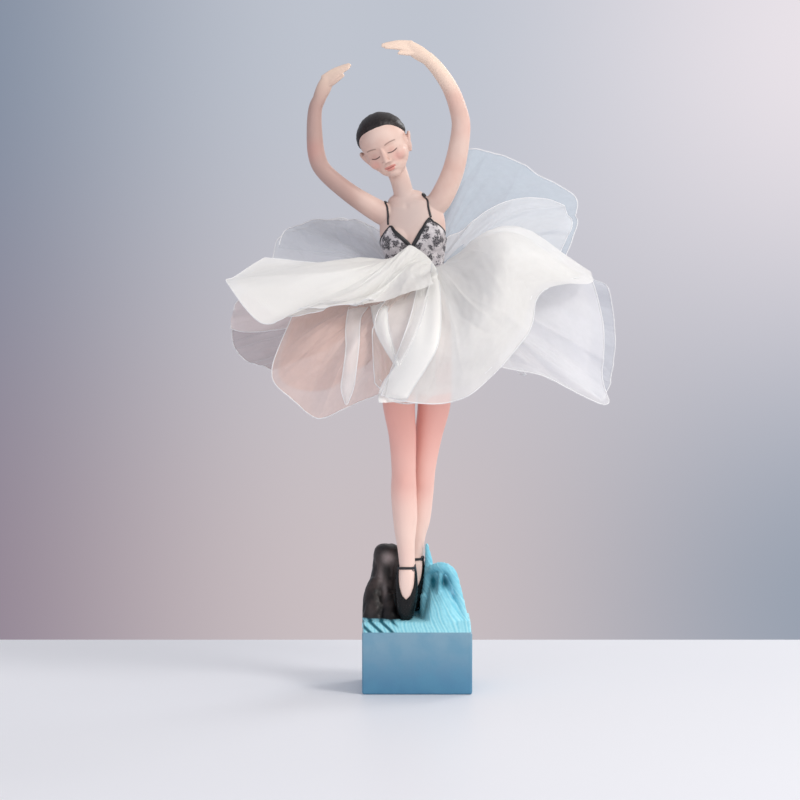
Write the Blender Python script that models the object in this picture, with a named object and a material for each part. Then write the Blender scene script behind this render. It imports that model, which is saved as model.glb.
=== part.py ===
"""Ballerina figurine: a cast dancer en pointe on a carved block, with an organza tutu.

The origin is the middle of the block's underside, +Z is up and the dancer faces -Y.
Lengths are metres. The dancer, the carving and the tutu are drawn in figure units: one
unit is a millimetre when the figure has its standard height.
"""

import math

import bmesh
import bpy
from mathutils import Matrix, Vector

# Driving dimensions
FIGURE_HEIGHT = 0.262
BLOCK_WIDTH = 0.0495
BLOCK_DEPTH = 0.046
BLOCK_HEIGHT = 0.028
BLOCK_EDGE = 0.0007
MOUND_RISE = 0.0040
TUTU_SPREAD = 0.180
CLOTH_THICKNESS = 0.0009
FIT_GAP = 0.0004
FOOT_ROOM = 0.0008

# Figure units, and the levels that the pieces share
STANDARD_HEIGHT = 262.0
STANDARD_SPREAD = 180.0
UNIT = FIGURE_HEIGHT / STANDARD_HEIGHT
SPREAD_UNIT = TUTU_SPREAD / STANDARD_SPREAD
STAND_LEVEL = BLOCK_HEIGHT + MOUND_RISE
WAIST_HEIGHT = 154.0
WAIST = Vector((0.0, 0.0, STAND_LEVEL + WAIST_HEIGHT * UNIT))
WAIST_HALF_WIDTH = 10.6
WAIST_HALF_DEPTH = 8.4

# Mesh fineness, in figure units
DANCER_VOXEL = 0.75
CARVING_VOXEL = 0.8
DANCER_KEPT = 0.034
CARVING_KEPT = 0.036
FOOT_ROOM_KEPT = 0.05
DANCER_SMOOTHING = 3
CARVING_SMOOTHING = 2
SPOKE_STEPS = 6
RIM_STEPS_PER_SPOKE = 3
RIPPLES_PER_SPOKE = 1.5

# How wide a limb's rounded end is, and how far it stands out, as shares of its half width
END_WIDTH = 0.6
END_RISE = 0.5

# The torso, from the crotch up: middle (x, y, z), half width, half depth and sideways tilt
TORSO = (
    ((-0.5, 1.0, 115), 8.0, 7.0, 0),
    ((-0.5, 1.0, 120), 13.5, 10.0, 0),
    ((-0.4, 1.2, 129), 16.0, 12.0, 0),
    ((-0.2, 1.0, 138), 15.0, 11.3, 0),
    ((0.0, 0.4, 146), 12.2, 9.4, 1),
    ((0.0, 0.0, 154), WAIST_HALF_WIDTH, WAIST_HALF_DEPTH, 2),
    ((-0.4, 0.0, 161), 12.2, 9.0, 5),
    ((-1.4, -0.2, 170), 14.4, 9.6, 8),
    ((-2.2, 0.0, 179), 15.0, 8.8, 11),
    ((-3.4, 0.8, 186), 13.0, 7.2, 13),
    ((-5.0, 1.4, 190.5), 8.5, 5.4, 13),
)
NECK = (((-5.4, 1.2, 188), 5.2), ((-6.6, 0.6, 193), 4.1), ((-8.4, -0.6, 199), 3.9), ((-10.4, -1.6, 205), 4.4))

# The arms curve over the head: points on each one's middle line, with its radius there
ARM_ON_RIGHT = (
    ((5.5, 0.8, 186.0), 5.2),
    ((10.6, 0, 190.5), 5.3),
    ((16.6, -2, 204), 4.9),
    ((19.6, -4, 221.5), 4.4),
    ((17.6, -5.5, 231), 4.0),
    ((13.6, -7, 238.5), 3.5),
    ((8.6, -8.3, 247.5), 3.0),
    ((4.6, -9, 252.3), 2.5),
)
HAND_ON_RIGHT = (
    ((4.6, -9, 252.3), 2.5, 2.2),
    ((1.0, -9.6, 255.2), 2.9, 1.9),
    ((-4.0, -10.2, 257.6), 2.9, 1.6),
    ((-9.0, -10.6, 259.0), 2.3, 1.3),
    ((-14.5, -11, 259.6), 1.4, 1.0),
)
THUMB_ON_RIGHT = (((1.0, -9.6, 254.6), 1.5), ((-4.0, -10.4, 255.0), 1.1), ((-8.0, -10.6, 255.8), 0.8))
ARM_ON_LEFT = (
    ((-11.0, 0.8, 182.5), 5.2),
    ((-16.6, 0, 184.5), 5.2),
    ((-30.2, -3, 193), 4.3),
    ((-41.5, -5.5, 202.5), 3.9),
    ((-45.2, -6.8, 210), 3.9),
    ((-46.2, -8, 221), 3.5),
    ((-45.8, -8.8, 231), 3.1),
    ((-43.8, -9, 236), 2.5),
)
HAND_ON_LEFT = (
    ((-43.8, -9, 236), 2.5, 2.2),
    ((-41.4, -9.6, 240.4), 2.8, 1.9),
    ((-38.2, -10.2, 244.6), 2.8, 1.6),
    ((-34.0, -10.6, 248.0), 2.2, 1.3),
    ((-29.4, -11, 250.2), 1.3, 1.0),
)
THUMB_ON_LEFT = (((-41.2, -9.8, 240.0), 1.4), ((-37.4, -10.6, 242.0), 1.1), ((-33.4, -10.8, 244.6), 0.8))

# The legs, hip to ankle, and the pointed shoes, ankle to toe
LEG_IN_FRONT = (
    ((-7.6, -0.5, 124), 9.0),
    ((-8.2, -2.5, 110), 8.2),
    ((-8.2, -4.0, 97.5), 7.3),
    ((-6.6, -5.0, 83.5), 6.2),
    ((-6.0, -5.2, 68.0), 5.5),
    ((-6.0, -4.0, 58.0), 5.8),
    ((-5.4, -4.0, 47.0), 5.6),
    ((-5.3, -5.0, 40.0), 4.9),
    ((-5.0, -6.0, 34.0), 4.1),
    ((-4.4, -7.0, 24.0), 3.5),
)
SHOE_IN_FRONT = (
    ((-4.6, -6.6, 25.0), 3.9, 4.0),
    ((-4.7, -7.6, 20.0), 4.7, 4.6),
    ((-4.8, -8.2, 14.0), 5.0, 4.4),
    ((-5.0, -8.2, 8.0), 4.6, 3.8),
    ((-5.2, -8.0, 3.0), 3.8, 3.2),
    ((-5.2, -8.0, 0.4), 3.0, 2.7),
)
LEG_BEHIND = (
    ((7.0, 2.0, 124), 9.0),
    ((7.6, 3.0, 110), 8.2),
    ((7.8, 4.0, 97.0), 7.5),
    ((5.3, 4.4, 83.0), 6.3),
    ((3.1, 5.0, 68.5), 5.6),
    ((1.8, 6.4, 56.0), 5.8),
    ((0.8, 7.2, 45.0), 5.5),
    ((-0.3, 7.0, 38.5), 4.8),
    ((-0.6, 7.0, 33.0), 4.0),
    ((-0.9, 7.0, 26.0), 3.5),
)
SHOE_BEHIND = (
    ((-0.8, 6.8, 27.0), 3.9, 4.0),
    ((-1.0, 6.6, 22.0), 4.6, 4.6),
    ((-1.4, 6.4, 16.0), 4.8, 4.4),
    ((-1.8, 6.2, 10.0), 4.4, 3.8),
    ((-2.0, 6.2, 5.0), 3.7, 3.2),
    ((-2.0, 6.2, 2.4), 3.0, 2.7),
)

# The head leans to the dancer's right, turns that way a little and looks down
HEAD_MIDDLE = (-14.6, -3.0, 214.8)
HEAD_SIZE = (11.2, 12.6, 14.8)
HEAD_LEAN = 24
HEAD_TURN = 13
HEAD_NOD = 12

# The head's forms: middle and half sizes, both as shares of HEAD_SIZE
HEAD_FORMS = {
    "skull": ((0, 0.08, 0.23), (0.96, 1.0, 0.73)),
    "face": ((0, -0.127, -0.203), (0.88, 0.80, 0.72)),
    "jaw": ((0, -0.286, -0.581), (0.62, 0.58, 0.42)),
    "nose": ((0, -0.944, -0.162), (0.125, 0.143, 0.189)),
    "hair": ((0, 0.206, 0.324), (1.0, 1.0, 0.73)),
    "bun": ((0, 1.048, -0.068), (0.464, 0.289, 0.351)),
    "ear on the left": ((-0.96, 0.127, -0.23), (0.116, 0.167, 0.23)),
    "ear on the right": ((0.96, 0.127, -0.23), (0.116, 0.167, 0.23)),
}

# The two forms of the bust
BUST_SIZE = (7.2, 4.8, 7.4)
BUST_MIDDLES = ((-8.2, -5.6, 171.2), (5.4, -5.6, 173.2))

# The carving on the block, in figure units from its top: how high its outline stands from left to
# right across the wave, and the tongues of the boulder and of the breaking crest
BANK_OUTLINE = ((3.0, 6.0), (6.0, 20.0), (11.5, 25.0), (15.5, 23.0), (18.2, 17.0), (21.0, 10.5), (23.6, 3.0))
BANK_LEFT_RUN = 2.0
BANK_FRONT_SHARE = 0.72
BANK_TOP_RUN = (-4, 5)
BANK_BACK_EDGE = 9
MOUND_FRONT_RUN = 9
MOUND_BACK_RUN = 6
BOULDER_TONGUES = (
    (((-15.5, 6.0, 0.0), 9.6), ((-15.2, 6.0, 12.0), 8.4), ((-13.8, 6.6, 22.0), 7.2), ((-13.2, 6.8, 33.6), 6.4)),
    (((-19.0, -3.0, 0.0), 6.4), ((-18.6, -1.0, 8.0), 5.2), ((-16.8, 3.0, 17.0), 3.6)),
    (((-13.0, 14.0, 0.0), 8.6), ((-12.4, 13.0, 12.0), 7.4), ((-11.6, 11.0, 21.0), 5.4)),
    (((-10.0, -9.0, -1.0), 5.4), ((-12.0, -5.0, 5.0), 4.6), ((-12.4, -1.0, 14.0), 2.6)),
)
CREST_TONGUES = (
    (((5.8, 6.0, 14.0), 4.2), ((5.6, 5.0, 27.0), 2.2), ((4.5, 4.2, 37.0), 0.8)),
    (((5.0, 4.0, 24.0), 1.6), ((7.6, 1.5, 26.4), 1.8), ((11.6, -0.5, 27.2), 2.2), ((15.6, -1.4, 24.6), 2.4),
     ((18.0, -3.0, 18.6), 1.8), ((19.6, -5.0, 12.0), 1.4)),
    (((11.2, 0.5, 26.0), 1.5), ((10.8, -2.0, 20.0), 1.3), ((10.0, -4.5, 13.0), 1.2)),
    (((0.0, 17.5, 1.0), 5.0), ((-1.0, 17.0, 12.0), 4.2), ((-3.0, 15.5, 21.0), 2.4)),
)

# Each lobe of the tutu is gathered on a short stretch of the waist and fans out in spokes.
# Root: first and last azimuth round the waist (degrees from +X), the rise at each, and how far out
# it starts. A spoke is (azimuth, reach, rise) half way out and at the rim. Last: the rim's ripple.
LOBES = {
    "tutu_front_left": (
        (205, 284, 7.0, 13.0, 5.0),
        (
            ((190, 32, 6), (183, 68, 4)),
            ((207, 37, 10), (194, 85, 2)),
            ((223, 46, 5), (202, 90, -2)),
            ((231, 48, -4), (213, 81, -19)),
            ((240, 40, -8), (228, 56, -15)),
            ((254, 29, 1), (249, 40, -5)),
            ((270, 24, 6), (269, 32, 0)),
        ),
        1.4,
    ),
    "tutu_far_left": (
        (160, 202, -2.0, -2.0, 2.2),
        (
            ((164, 38, -4), (166, 72, -4)),
            ((174, 40, -8), (177, 81, -10)),
            ((182, 44, -15), (183, 84, -25)),
            ((190, 43, -22), (187, 80, -34)),
            ((196, 37, -27), (194, 67, -41)),
        ),
        1.4,
    ),
    "tutu_left_puff": (
        (212, 254, -3.5, -3.5, 3.0),
        (
            ((212, 38, -12), (205, 62, -20)),
            ((219, 49, -20), (206, 72, -40)),
            ((227, 52, -27), (213, 67, -52)),
            ((235, 51, -31), (219, 57, -61)),
            ((242, 44, -31), (231, 49, -56)),
            ((250, 34, -28), (243, 40, -51)),
            ((258, 27, -24), (256, 32, -46)),
        ),
        1.6,
    ),
    "tutu_centre": (
        (254, 276, 0.0, 0.0, 4.0),
        (
            ((244, 42, -16), (246, 46, -45)),
            ((252, 45, -22), (254, 46, -52)),
            ((261, 46, -24), (263, 45, -54)),
            ((270, 44, -24), (272, 44, -53)),
            ((279, 40, -22), (281, 40, -50)),
        ),
        0.8,
    ),
    "tutu_right_puff": (
        (276, 352, 3.0, 6.0, 3.4),
        (
            ((265, 51, -20), (253, 55, -50)),
            ((274, 55, -24), (268, 56, -53)),
            ((284, 58, -23), (286, 55, -53)),
            ((294, 59, -18), (303, 58, -43)),
            ((304, 57, -8), (320, 63, -22)),
            ((315, 50, 8), (332, 63, -5)),
            ((336, 36, 21), (350, 66, 8)),
            ((358, 26, 20), (4, 62, 14)),
        ),
        1.2,
    ),
    "tutu_right_flap": (
        (325, 358, -4.0, -2.0, 3.0),
        (
            ((322, 38, -24), (325, 47, -38)),
            ((331, 42, -25), (342, 60, -44)),
            ((338, 44, -22), (354, 86, -56)),
            ((346, 44, -15), (357, 84, -42)),
            ((354, 43, -6), (359, 84, -18)),
            ((1, 39, 2), (3, 78, 0)),
            ((8, 33, 6), (9, 64, 11)),
        ),
        1.6,
    ),
    "tutu_right_tail": (
        (6, 30, -4.0, -4.0, 2.6),
        (
            ((13, 46, -28), (9, 86, -56)),
            ((17, 48, -20), (13, 92, -46)),
            ((22, 50, -8), (15, 95, -24)),
            ((28, 48, 2), (18, 86, -2)),
        ),
        1.2,
    ),
    "tutu_back_right": (
        (15, 80, 7.0, 7.0, 3.0),
        (
            ((17, 38, 8), (20, 70, 4)),
            ((20, 43, 16), (24, 78, 16)),
            ((23, 49, 24), (28, 86, 30)),
            ((28, 47, 31), (30, 86, 40)),
            ((34, 42, 35), (34, 70, 49)),
            ((41, 34, 37), (42, 52, 58)),
            ((50, 28, 34), (56, 40, 58)),
            ((66, 30, 22), (72, 52, 38)),
            ((80, 34, 14), (84, 58, 22)),
        ),
        1.4,
    ),
    "tutu_back_left": (
        (96, 168, 5.0, 5.0, 3.0),
        (
            ((98, 36, 6), (92, 62, 6)),
            ((112, 33, 12), (110, 54, 14)),
            ((124, 29, 16), (124, 46, 24)),
            ((138, 31, 17), (136, 46, 28)),
            ((150, 36, 17), (147, 50, 26)),
            ((160, 40, 13), (160, 59, 19)),
            ((170, 40, 7), (172, 67, 12)),
        ),
        1.4,
    ),
    "tutu_back": (
        (36, 154, -3.0, -3.0, 2.6),
        (
            ((30, 42, -20), (30, 60, -44)),
            ((52, 42, -14), (50, 64, -36)),
            ((78, 42, -10), (76, 66, -30)),
            ((104, 42, -12), (106, 64, -34)),
            ((130, 42, -16), (132, 62, -40)),
            ((152, 40, -22), (158, 58, -46)),
        ),
        2.0,
    ),
}


def clear_scene():
    for thing in list(bpy.data.objects):
        bpy.data.objects.remove(thing, do_unlink=True)


def material(name, colour, roughness, metallic=0.0):
    made = bpy.data.materials.new(name)
    made.use_nodes = True
    shader = made.node_tree.nodes["Principled BSDF"]
    shader.inputs["Base Color"].default_value = (*colour, 1.0)
    shader.inputs["Roughness"].default_value = roughness
    shader.inputs["Metallic"].default_value = metallic
    made.diffuse_color = (*colour, 1.0)
    return made


def object_from(bm, name, made_of):
    mesh = bpy.data.meshes.new(name)
    bm.to_mesh(mesh)
    bm.free()
    mesh.materials.append(made_of)
    thing = bpy.data.objects.new(name, mesh)
    bpy.context.scene.collection.objects.link(thing)
    return thing


def figure_point(point):
    """A place on the dancer, from figure units above the toes to metres."""
    x, y, z = point
    return Vector((x * UNIT, y * UNIT, STAND_LEVEL + z * UNIT))


def carving_point(point):
    """A place on the carving, from figure units above the block to metres."""
    x, y, z = point
    return Vector((x * UNIT, y * UNIT, BLOCK_HEIGHT + z * UNIT))


def between(knots, at):
    """The Catmull-Rom curve through the knots, from 0 at the first to 1 at the last."""
    place = min(max(at, 0.0), 1.0) * (len(knots) - 1)
    first = min(int(place), len(knots) - 2)
    t = place - first
    one, two = knots[first], knots[first + 1]
    before = knots[first - 1] if first > 0 else 2 * one - two
    after = knots[first + 2] if first + 2 < len(knots) else 2 * two - one
    return 0.5 * (
        2 * one
        + t * (two - before)
        + t * t * (2 * before - 5 * one + 4 * two - after)
        + t * t * t * (3 * one - before - 3 * two + after)
    )


def skin_rings(bm, rings):
    """A closed skin over rings that all have the same number of points."""
    loops = [[bm.verts.new(point) for point in ring] for ring in rings]
    sides = len(loops[0])
    for low, high in zip(loops, loops[1:]):
        for k in range(sides):
            nxt = (k + 1) % sides
            bm.faces.new((low[k], low[nxt], high[nxt], high[k]))
    bm.faces.new(list(reversed(loops[0])))
    bm.faces.new(loops[-1])


def ring(middle, along, half_width, half_depth, sides):
    """An ellipse across the direction along, its width held nearest to X."""
    along = along.normalized()
    deep = along.cross(Vector((1, 0, 0)))
    if deep.length < 0.3:
        deep = Vector((0, 1, 0))
    deep.normalize()
    wide = deep.cross(along).normalized()
    points = []
    for k in range(sides):
        angle = math.tau * k / sides
        points.append(middle + wide * half_width * math.cos(angle) + deep * half_depth * math.sin(angle))
    return points


def limb(bm, stations, extra=0.0, steps=3, sides=16, to_metres=figure_point):
    """A tapered limb through stations of (place, half width[, half depth])."""
    middles = [to_metres(station[0]) for station in stations]
    widths = [station[1] * UNIT + extra for station in stations]
    depths = [station[-1] * UNIT + extra for station in stations]
    count = (len(stations) - 1) * steps
    rings = []
    for k in range(count + 1):
        at = k / count
        ahead = between(middles, min(at + 0.02, 1.0))
        behind = between(middles, max(at - 0.02, 0.0))
        rings.append(ring(between(middles, at), ahead - behind, between(widths, at), between(depths, at), sides))
    ends = []
    for edge, inner in ((rings[0], rings[1]), (rings[-1], rings[-2])):
        middle = sum(edge, Vector()) / sides
        outward = (middle - sum(inner, Vector()) / sides).normalized()
        cap = outward * (edge[0] - middle).length * END_RISE
        ends.append([middle + (point - middle) * END_WIDTH + cap for point in edge])
    skin_rings(bm, [ends[0], *rings, ends[1]])


def torso(bm, sides=24):
    rings = []
    for middle, wide, deep, tilt in TORSO:
        turn = Matrix.Rotation(math.radians(-tilt), 4, "Y")
        points = []
        for k in range(sides):
            angle = math.tau * k / sides
            offset = Vector((wide * math.cos(angle), deep * math.sin(angle), 0)) * UNIT
            points.append(figure_point(middle) + turn @ offset)
        rings.append(points)
    skin_rings(bm, rings)


def ball(bm, middle, radii, turn=None):
    """An ellipsoid with half sizes radii, in metres."""
    shape = Matrix.Translation(middle) @ (turn or Matrix.Identity(4)) @ Matrix.Diagonal((*radii, 1.0))
    bmesh.ops.create_uvsphere(bm, u_segments=24, v_segments=16, radius=1.0, matrix=shape)


def head(bm):
    """Skull, jaw, nose, ears, the hair's cap and a low bun, all leaning together."""
    turn = Matrix.Rotation(math.radians(-HEAD_LEAN), 4, "Y")
    turn = turn @ Matrix.Rotation(math.radians(-HEAD_TURN), 4, "Z")
    turn = turn @ Matrix.Rotation(math.radians(HEAD_NOD), 4, "X")
    size = Vector(HEAD_SIZE) * UNIT
    for place, radii in HEAD_FORMS.values():
        ball(bm, figure_point(HEAD_MIDDLE) + turn @ (Vector(place) * size), Vector(radii) * size, turn)


def bust(bm):
    for place in BUST_MIDDLES:
        ball(bm, figure_point(place), Vector(BUST_SIZE) * UNIT)


def fuse(thing, voxel, smoothing, kept):
    """Fuses what the object's mesh overlaps into one skin, as one casting has."""
    remesh = thing.modifiers.new("one casting", "REMESH")
    remesh.mode = "VOXEL"
    remesh.voxel_size = voxel
    if smoothing:
        smooth = thing.modifiers.new("soft joins", "SMOOTH")
        smooth.factor = 0.5
        smooth.iterations = smoothing
    thinner = thing.modifiers.new("fewer faces", "DECIMATE")
    thinner.ratio = kept


def make_dancer(made_of):
    bm = bmesh.new()
    torso(bm)
    bust(bm)
    head(bm)
    limb(bm, NECK)
    for stations in (ARM_ON_RIGHT, ARM_ON_LEFT, LEG_IN_FRONT, LEG_BEHIND):
        limb(bm, stations)
    for stations in (HAND_ON_RIGHT, HAND_ON_LEFT, SHOE_IN_FRONT, SHOE_BEHIND):
        limb(bm, stations, sides=12)
    for stations in (THUMB_ON_RIGHT, THUMB_ON_LEFT):
        limb(bm, stations, steps=2, sides=10)
    dancer = object_from(bm, "dancer", made_of)
    fuse(dancer, DANCER_VOXEL * UNIT, DANCER_SMOOTHING, DANCER_KEPT)
    return dancer


def cutter(bm, name):
    made = bpy.data.meshes.new(name)
    bm.to_mesh(made)
    bm.free()
    thing = bpy.data.objects.new(name, made)
    thing.hide_render = True
    thing.display_type = "WIRE"
    bpy.context.scene.collection.objects.link(thing)
    return thing


def ease(low, high, at):
    """0 below low, 1 above high, and a soft slope between."""
    t = min(max((at - low) / (high - low), 0.0), 1.0)
    return t * t * (3 - 2 * t)


def bank_height(x, y):
    """How high the wave's bank stands over the block at (x, y), all in figure units."""
    half_depth = BLOCK_DEPTH / 2 / UNIT
    rise = MOUND_RISE / UNIT * ease(-half_depth, MOUND_FRONT_RUN - half_depth, y)
    rise *= ease(half_depth, half_depth - MOUND_BACK_RUN, y)
    outline = BANK_OUTLINE[0][1] * ease(BANK_OUTLINE[0][0] - BANK_LEFT_RUN, BANK_OUTLINE[0][0], x)
    for (left, low), (right, high) in zip(BANK_OUTLINE, BANK_OUTLINE[1:]):
        if left <= x:
            outline = low + (high - low) * min((x - left) / (right - left), 1.0)
    slope = BANK_FRONT_SHARE * ease(-half_depth, 0, y) + (1 - BANK_FRONT_SHARE) * ease(*BANK_TOP_RUN, y)
    return max(rise, outline * slope * ease(half_depth + MOUND_BACK_RUN, BANK_BACK_EDGE, y))


def bank(bm, rows=36):
    """The wave's bank, from the block's front edge up to the crest, as a closed swell on the block."""
    half = Vector((BLOCK_WIDTH, BLOCK_DEPTH)) / 2 - Vector((1, 1)) * BLOCK_EDGE
    tops, bottoms = [], []
    for j in range(rows + 1):
        for i in range(rows + 1):
            x, y = (2 * i / rows - 1) * half.x, (2 * j / rows - 1) * half.y
            height = bank_height(x / UNIT, y / UNIT) * UNIT - FIT_GAP
            tops.append(bm.verts.new((x, y, BLOCK_HEIGHT + height)))
            bottoms.append(bm.verts.new((x, y, BLOCK_HEIGHT - MOUND_RISE)))
    wide = rows + 1
    for j in range(rows):
        for i in range(rows):
            a, b = j * wide + i, j * wide + i + 1
            bm.faces.new((tops[a], tops[b], tops[b + wide], tops[a + wide]))
            bm.faces.new((bottoms[a + wide], bottoms[b + wide], bottoms[b], bottoms[a]))
    edge = [i for i in range(wide)]
    edge += [j * wide + rows for j in range(1, wide)]
    edge += [rows * wide + i for i in range(rows - 1, -1, -1)]
    edge += [j * wide for j in range(rows - 1, 0, -1)]
    for a, b in zip(edge, edge[1:] + edge[:1]):
        bm.faces.new((bottoms[a], bottoms[b], tops[b], tops[a]))


def make_base(made_of):
    """The straight block, with the rock and the wave carved on it and room for the feet."""
    bm = bmesh.new()
    bank(bm)
    for tongue in BOULDER_TONGUES + CREST_TONGUES:
        limb(bm, tongue, steps=4, sides=14, to_metres=carving_point)
    carving = object_from(bm, "base", made_of)
    fuse(carving, CARVING_VOXEL * UNIT, CARVING_SMOOTHING, CARVING_KEPT)

    bm = bmesh.new()
    size = Matrix.Diagonal((BLOCK_WIDTH, BLOCK_DEPTH, BLOCK_HEIGHT, 1.0))
    bmesh.ops.create_cube(bm, size=1.0, matrix=Matrix.Translation((0, 0, BLOCK_HEIGHT / 2)) @ size)
    bmesh.ops.bevel(bm, geom=bm.edges[:], offset=BLOCK_EDGE, segments=2, profile=0.5, affect="EDGES")
    block = cutter(bm, "block form")

    bm = bmesh.new()
    limb(bm, SHOE_IN_FRONT, extra=FOOT_ROOM, sides=12)
    limb(bm, LEG_IN_FRONT[5:], extra=FOOT_ROOM, sides=12)
    front_room = cutter(bm, "room for the front foot")
    fuse(front_room, DANCER_VOXEL * UNIT, 0, FOOT_ROOM_KEPT)
    bm = bmesh.new()
    limb(bm, SHOE_BEHIND, extra=FOOT_ROOM, sides=12)
    limb(bm, LEG_BEHIND[5:], extra=FOOT_ROOM, sides=12)
    back_room = cutter(bm, "room for the back foot")
    fuse(back_room, DANCER_VOXEL * UNIT, 0, FOOT_ROOM_KEPT)

    for other, operation in ((block, "UNION"), (front_room, "DIFFERENCE"), (back_room, "DIFFERENCE")):
        step = carving.modifiers.new(other.name, "BOOLEAN")
        step.operation = operation
        step.object = other
    return carving


def waist_point(azimuth, out, rise):
    """A place round the waist, out beyond its surface, for an azimuth in degrees."""
    angle = math.radians(azimuth)
    wide = (WAIST_HALF_WIDTH + out) * math.cos(angle)
    deep = (WAIST_HALF_DEPTH + out) * math.sin(angle)
    return WAIST + Vector((wide, deep, rise)) * UNIT


def spoke_point(azimuth, reach, rise):
    angle = math.radians(azimuth)
    level = Vector((math.cos(angle), math.sin(angle), 0)) * reach * SPREAD_UNIT
    return WAIST + level + Vector((0, 0, rise * UNIT))


def lobe_surface(root, spokes, ripple, across, outward):
    """Rows of points from the waist to the rim, over across columns, with ripples that grow outwards."""
    first, last, first_rise, last_rise, out = root
    roots = []
    for k in range(len(spokes)):
        share = k / (len(spokes) - 1)
        azimuth, rise = first + (last - first) * share, first_rise + (last_rise - first_rise) * share
        roots.append(waist_point(azimuth, out, rise))
    middles = [spoke_point(*spoke[0]) for spoke in spokes]
    rims = [spoke_point(*spoke[1]) for spoke in spokes]
    rows = []
    for i in range(outward + 1):
        u = i / outward
        row = []
        for j in range(across + 1):
            v = j / across
            start, middle, end = between(roots, v), between(middles, v), between(rims, v)
            row.append(between([start, middle, end], u))
        rows.append(row)
    ripples = RIPPLES_PER_SPOKE * (len(spokes) - 1)
    for i, row in enumerate(rows):
        u = i / outward
        for j, point in enumerate(row):
            left, right = row[max(j - 1, 0)], row[min(j + 1, across)]
            back = rows[max(i - 1, 0)][j]
            ahead = rows[min(i + 1, outward)][j]
            normal = (right - left).cross(ahead - back).normalized()
            wave = math.sin(math.tau * ripples * j / across) * math.sin(math.pi * j / across)
            row[j] = point + normal * (ripple * UNIT * u * u * wave)
    return rows


def make_lobe(name, root, spokes, ripple, made_of):
    """One lobe of organza, as a thin closed sheet."""
    across = RIM_STEPS_PER_SPOKE * (len(spokes) - 1)
    bm = bmesh.new()
    rows = lobe_surface(root, spokes, ripple, across, SPOKE_STEPS)
    verts = [[bm.verts.new(point) for point in row] for row in rows]
    for near, far in zip(verts, verts[1:]):
        for k in range(across):
            bm.faces.new((near[k], near[k + 1], far[k + 1], far[k]))
    lobe = object_from(bm, name, made_of)
    cloth = lobe.modifiers.new("cloth", "SOLIDIFY")
    cloth.thickness = CLOTH_THICKNESS
    cloth.offset = 0
    return lobe


def main():
    clear_scene()
    bisque = material("painted bisque resin", (0.80, 0.58, 0.50), 0.55)
    painted_block = material("painted block resin", (0.17, 0.36, 0.48), 0.45)
    organza = material("white organza", (0.90, 0.92, 0.90), 0.7)
    make_dancer(bisque)
    make_base(painted_block)
    for name, (root, spokes, ripple) in LOBES.items():
        make_lobe(name, root, spokes, ripple, organza)


main()
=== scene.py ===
# %% [markdown]
# # Ballerina figurine
# A cast resin dancer stands on tiptoe on a carved, painted block. The tutu is real
# organza, gathered round the waist in ten loose lobes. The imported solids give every
# place and size, and this lesson dresses them: the casting gets its modelling and
# paint, the block its waves, and each lobe becomes a thin, see-through sheet.

import math

import bmesh
import bpy
import numpy as np
from mathutils import Matrix, Vector, noise
from mathutils.bvhtree import BVHTree


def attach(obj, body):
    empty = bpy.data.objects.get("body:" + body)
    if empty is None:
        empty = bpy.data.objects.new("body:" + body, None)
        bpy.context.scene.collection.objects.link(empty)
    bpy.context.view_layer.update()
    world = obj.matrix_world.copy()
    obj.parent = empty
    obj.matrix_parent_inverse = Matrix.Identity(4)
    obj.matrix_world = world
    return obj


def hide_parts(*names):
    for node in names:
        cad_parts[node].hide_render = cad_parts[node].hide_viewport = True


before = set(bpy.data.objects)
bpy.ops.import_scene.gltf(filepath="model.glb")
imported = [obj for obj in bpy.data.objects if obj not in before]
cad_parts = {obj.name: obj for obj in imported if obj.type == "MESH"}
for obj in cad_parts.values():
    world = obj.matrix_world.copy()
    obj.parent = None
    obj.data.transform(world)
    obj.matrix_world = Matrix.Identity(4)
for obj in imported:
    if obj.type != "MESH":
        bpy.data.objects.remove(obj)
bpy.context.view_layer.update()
print("solids:", sorted(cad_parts))

# %% [markdown]
# ## Camera, table and light
# The photograph is taken from a little above the waist with a long lens. A pale table
# ends a hand's width behind the block, and beyond it is only soft, tinted light.

# %% Camera
scene = bpy.context.scene
camera = bpy.data.objects.new("camera", bpy.data.cameras.new("camera"))
scene.collection.objects.link(camera)
camera.location = (-0.0077, -1.2, 0.19)
camera.rotation_euler = (math.radians(90 - 2.8), 0, 0)
camera.data.lens = 118.8
camera.data.sensor_width = 36
camera.data.clip_start = 0.01
scene.camera = camera
scene.view_settings.view_transform = "Standard"

# %% A short hand for shader nodes
MM = 0.001


def linear(code):
    """A colour written as six hexadecimal digits, in the linear values that shaders use."""
    values = [int(code[k:k + 2], 16) / 255 for k in (0, 2, 4)]
    return tuple(v / 12.92 if v <= 0.04045 else ((v + 0.055) / 1.055) ** 2.4 for v in values)


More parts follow.
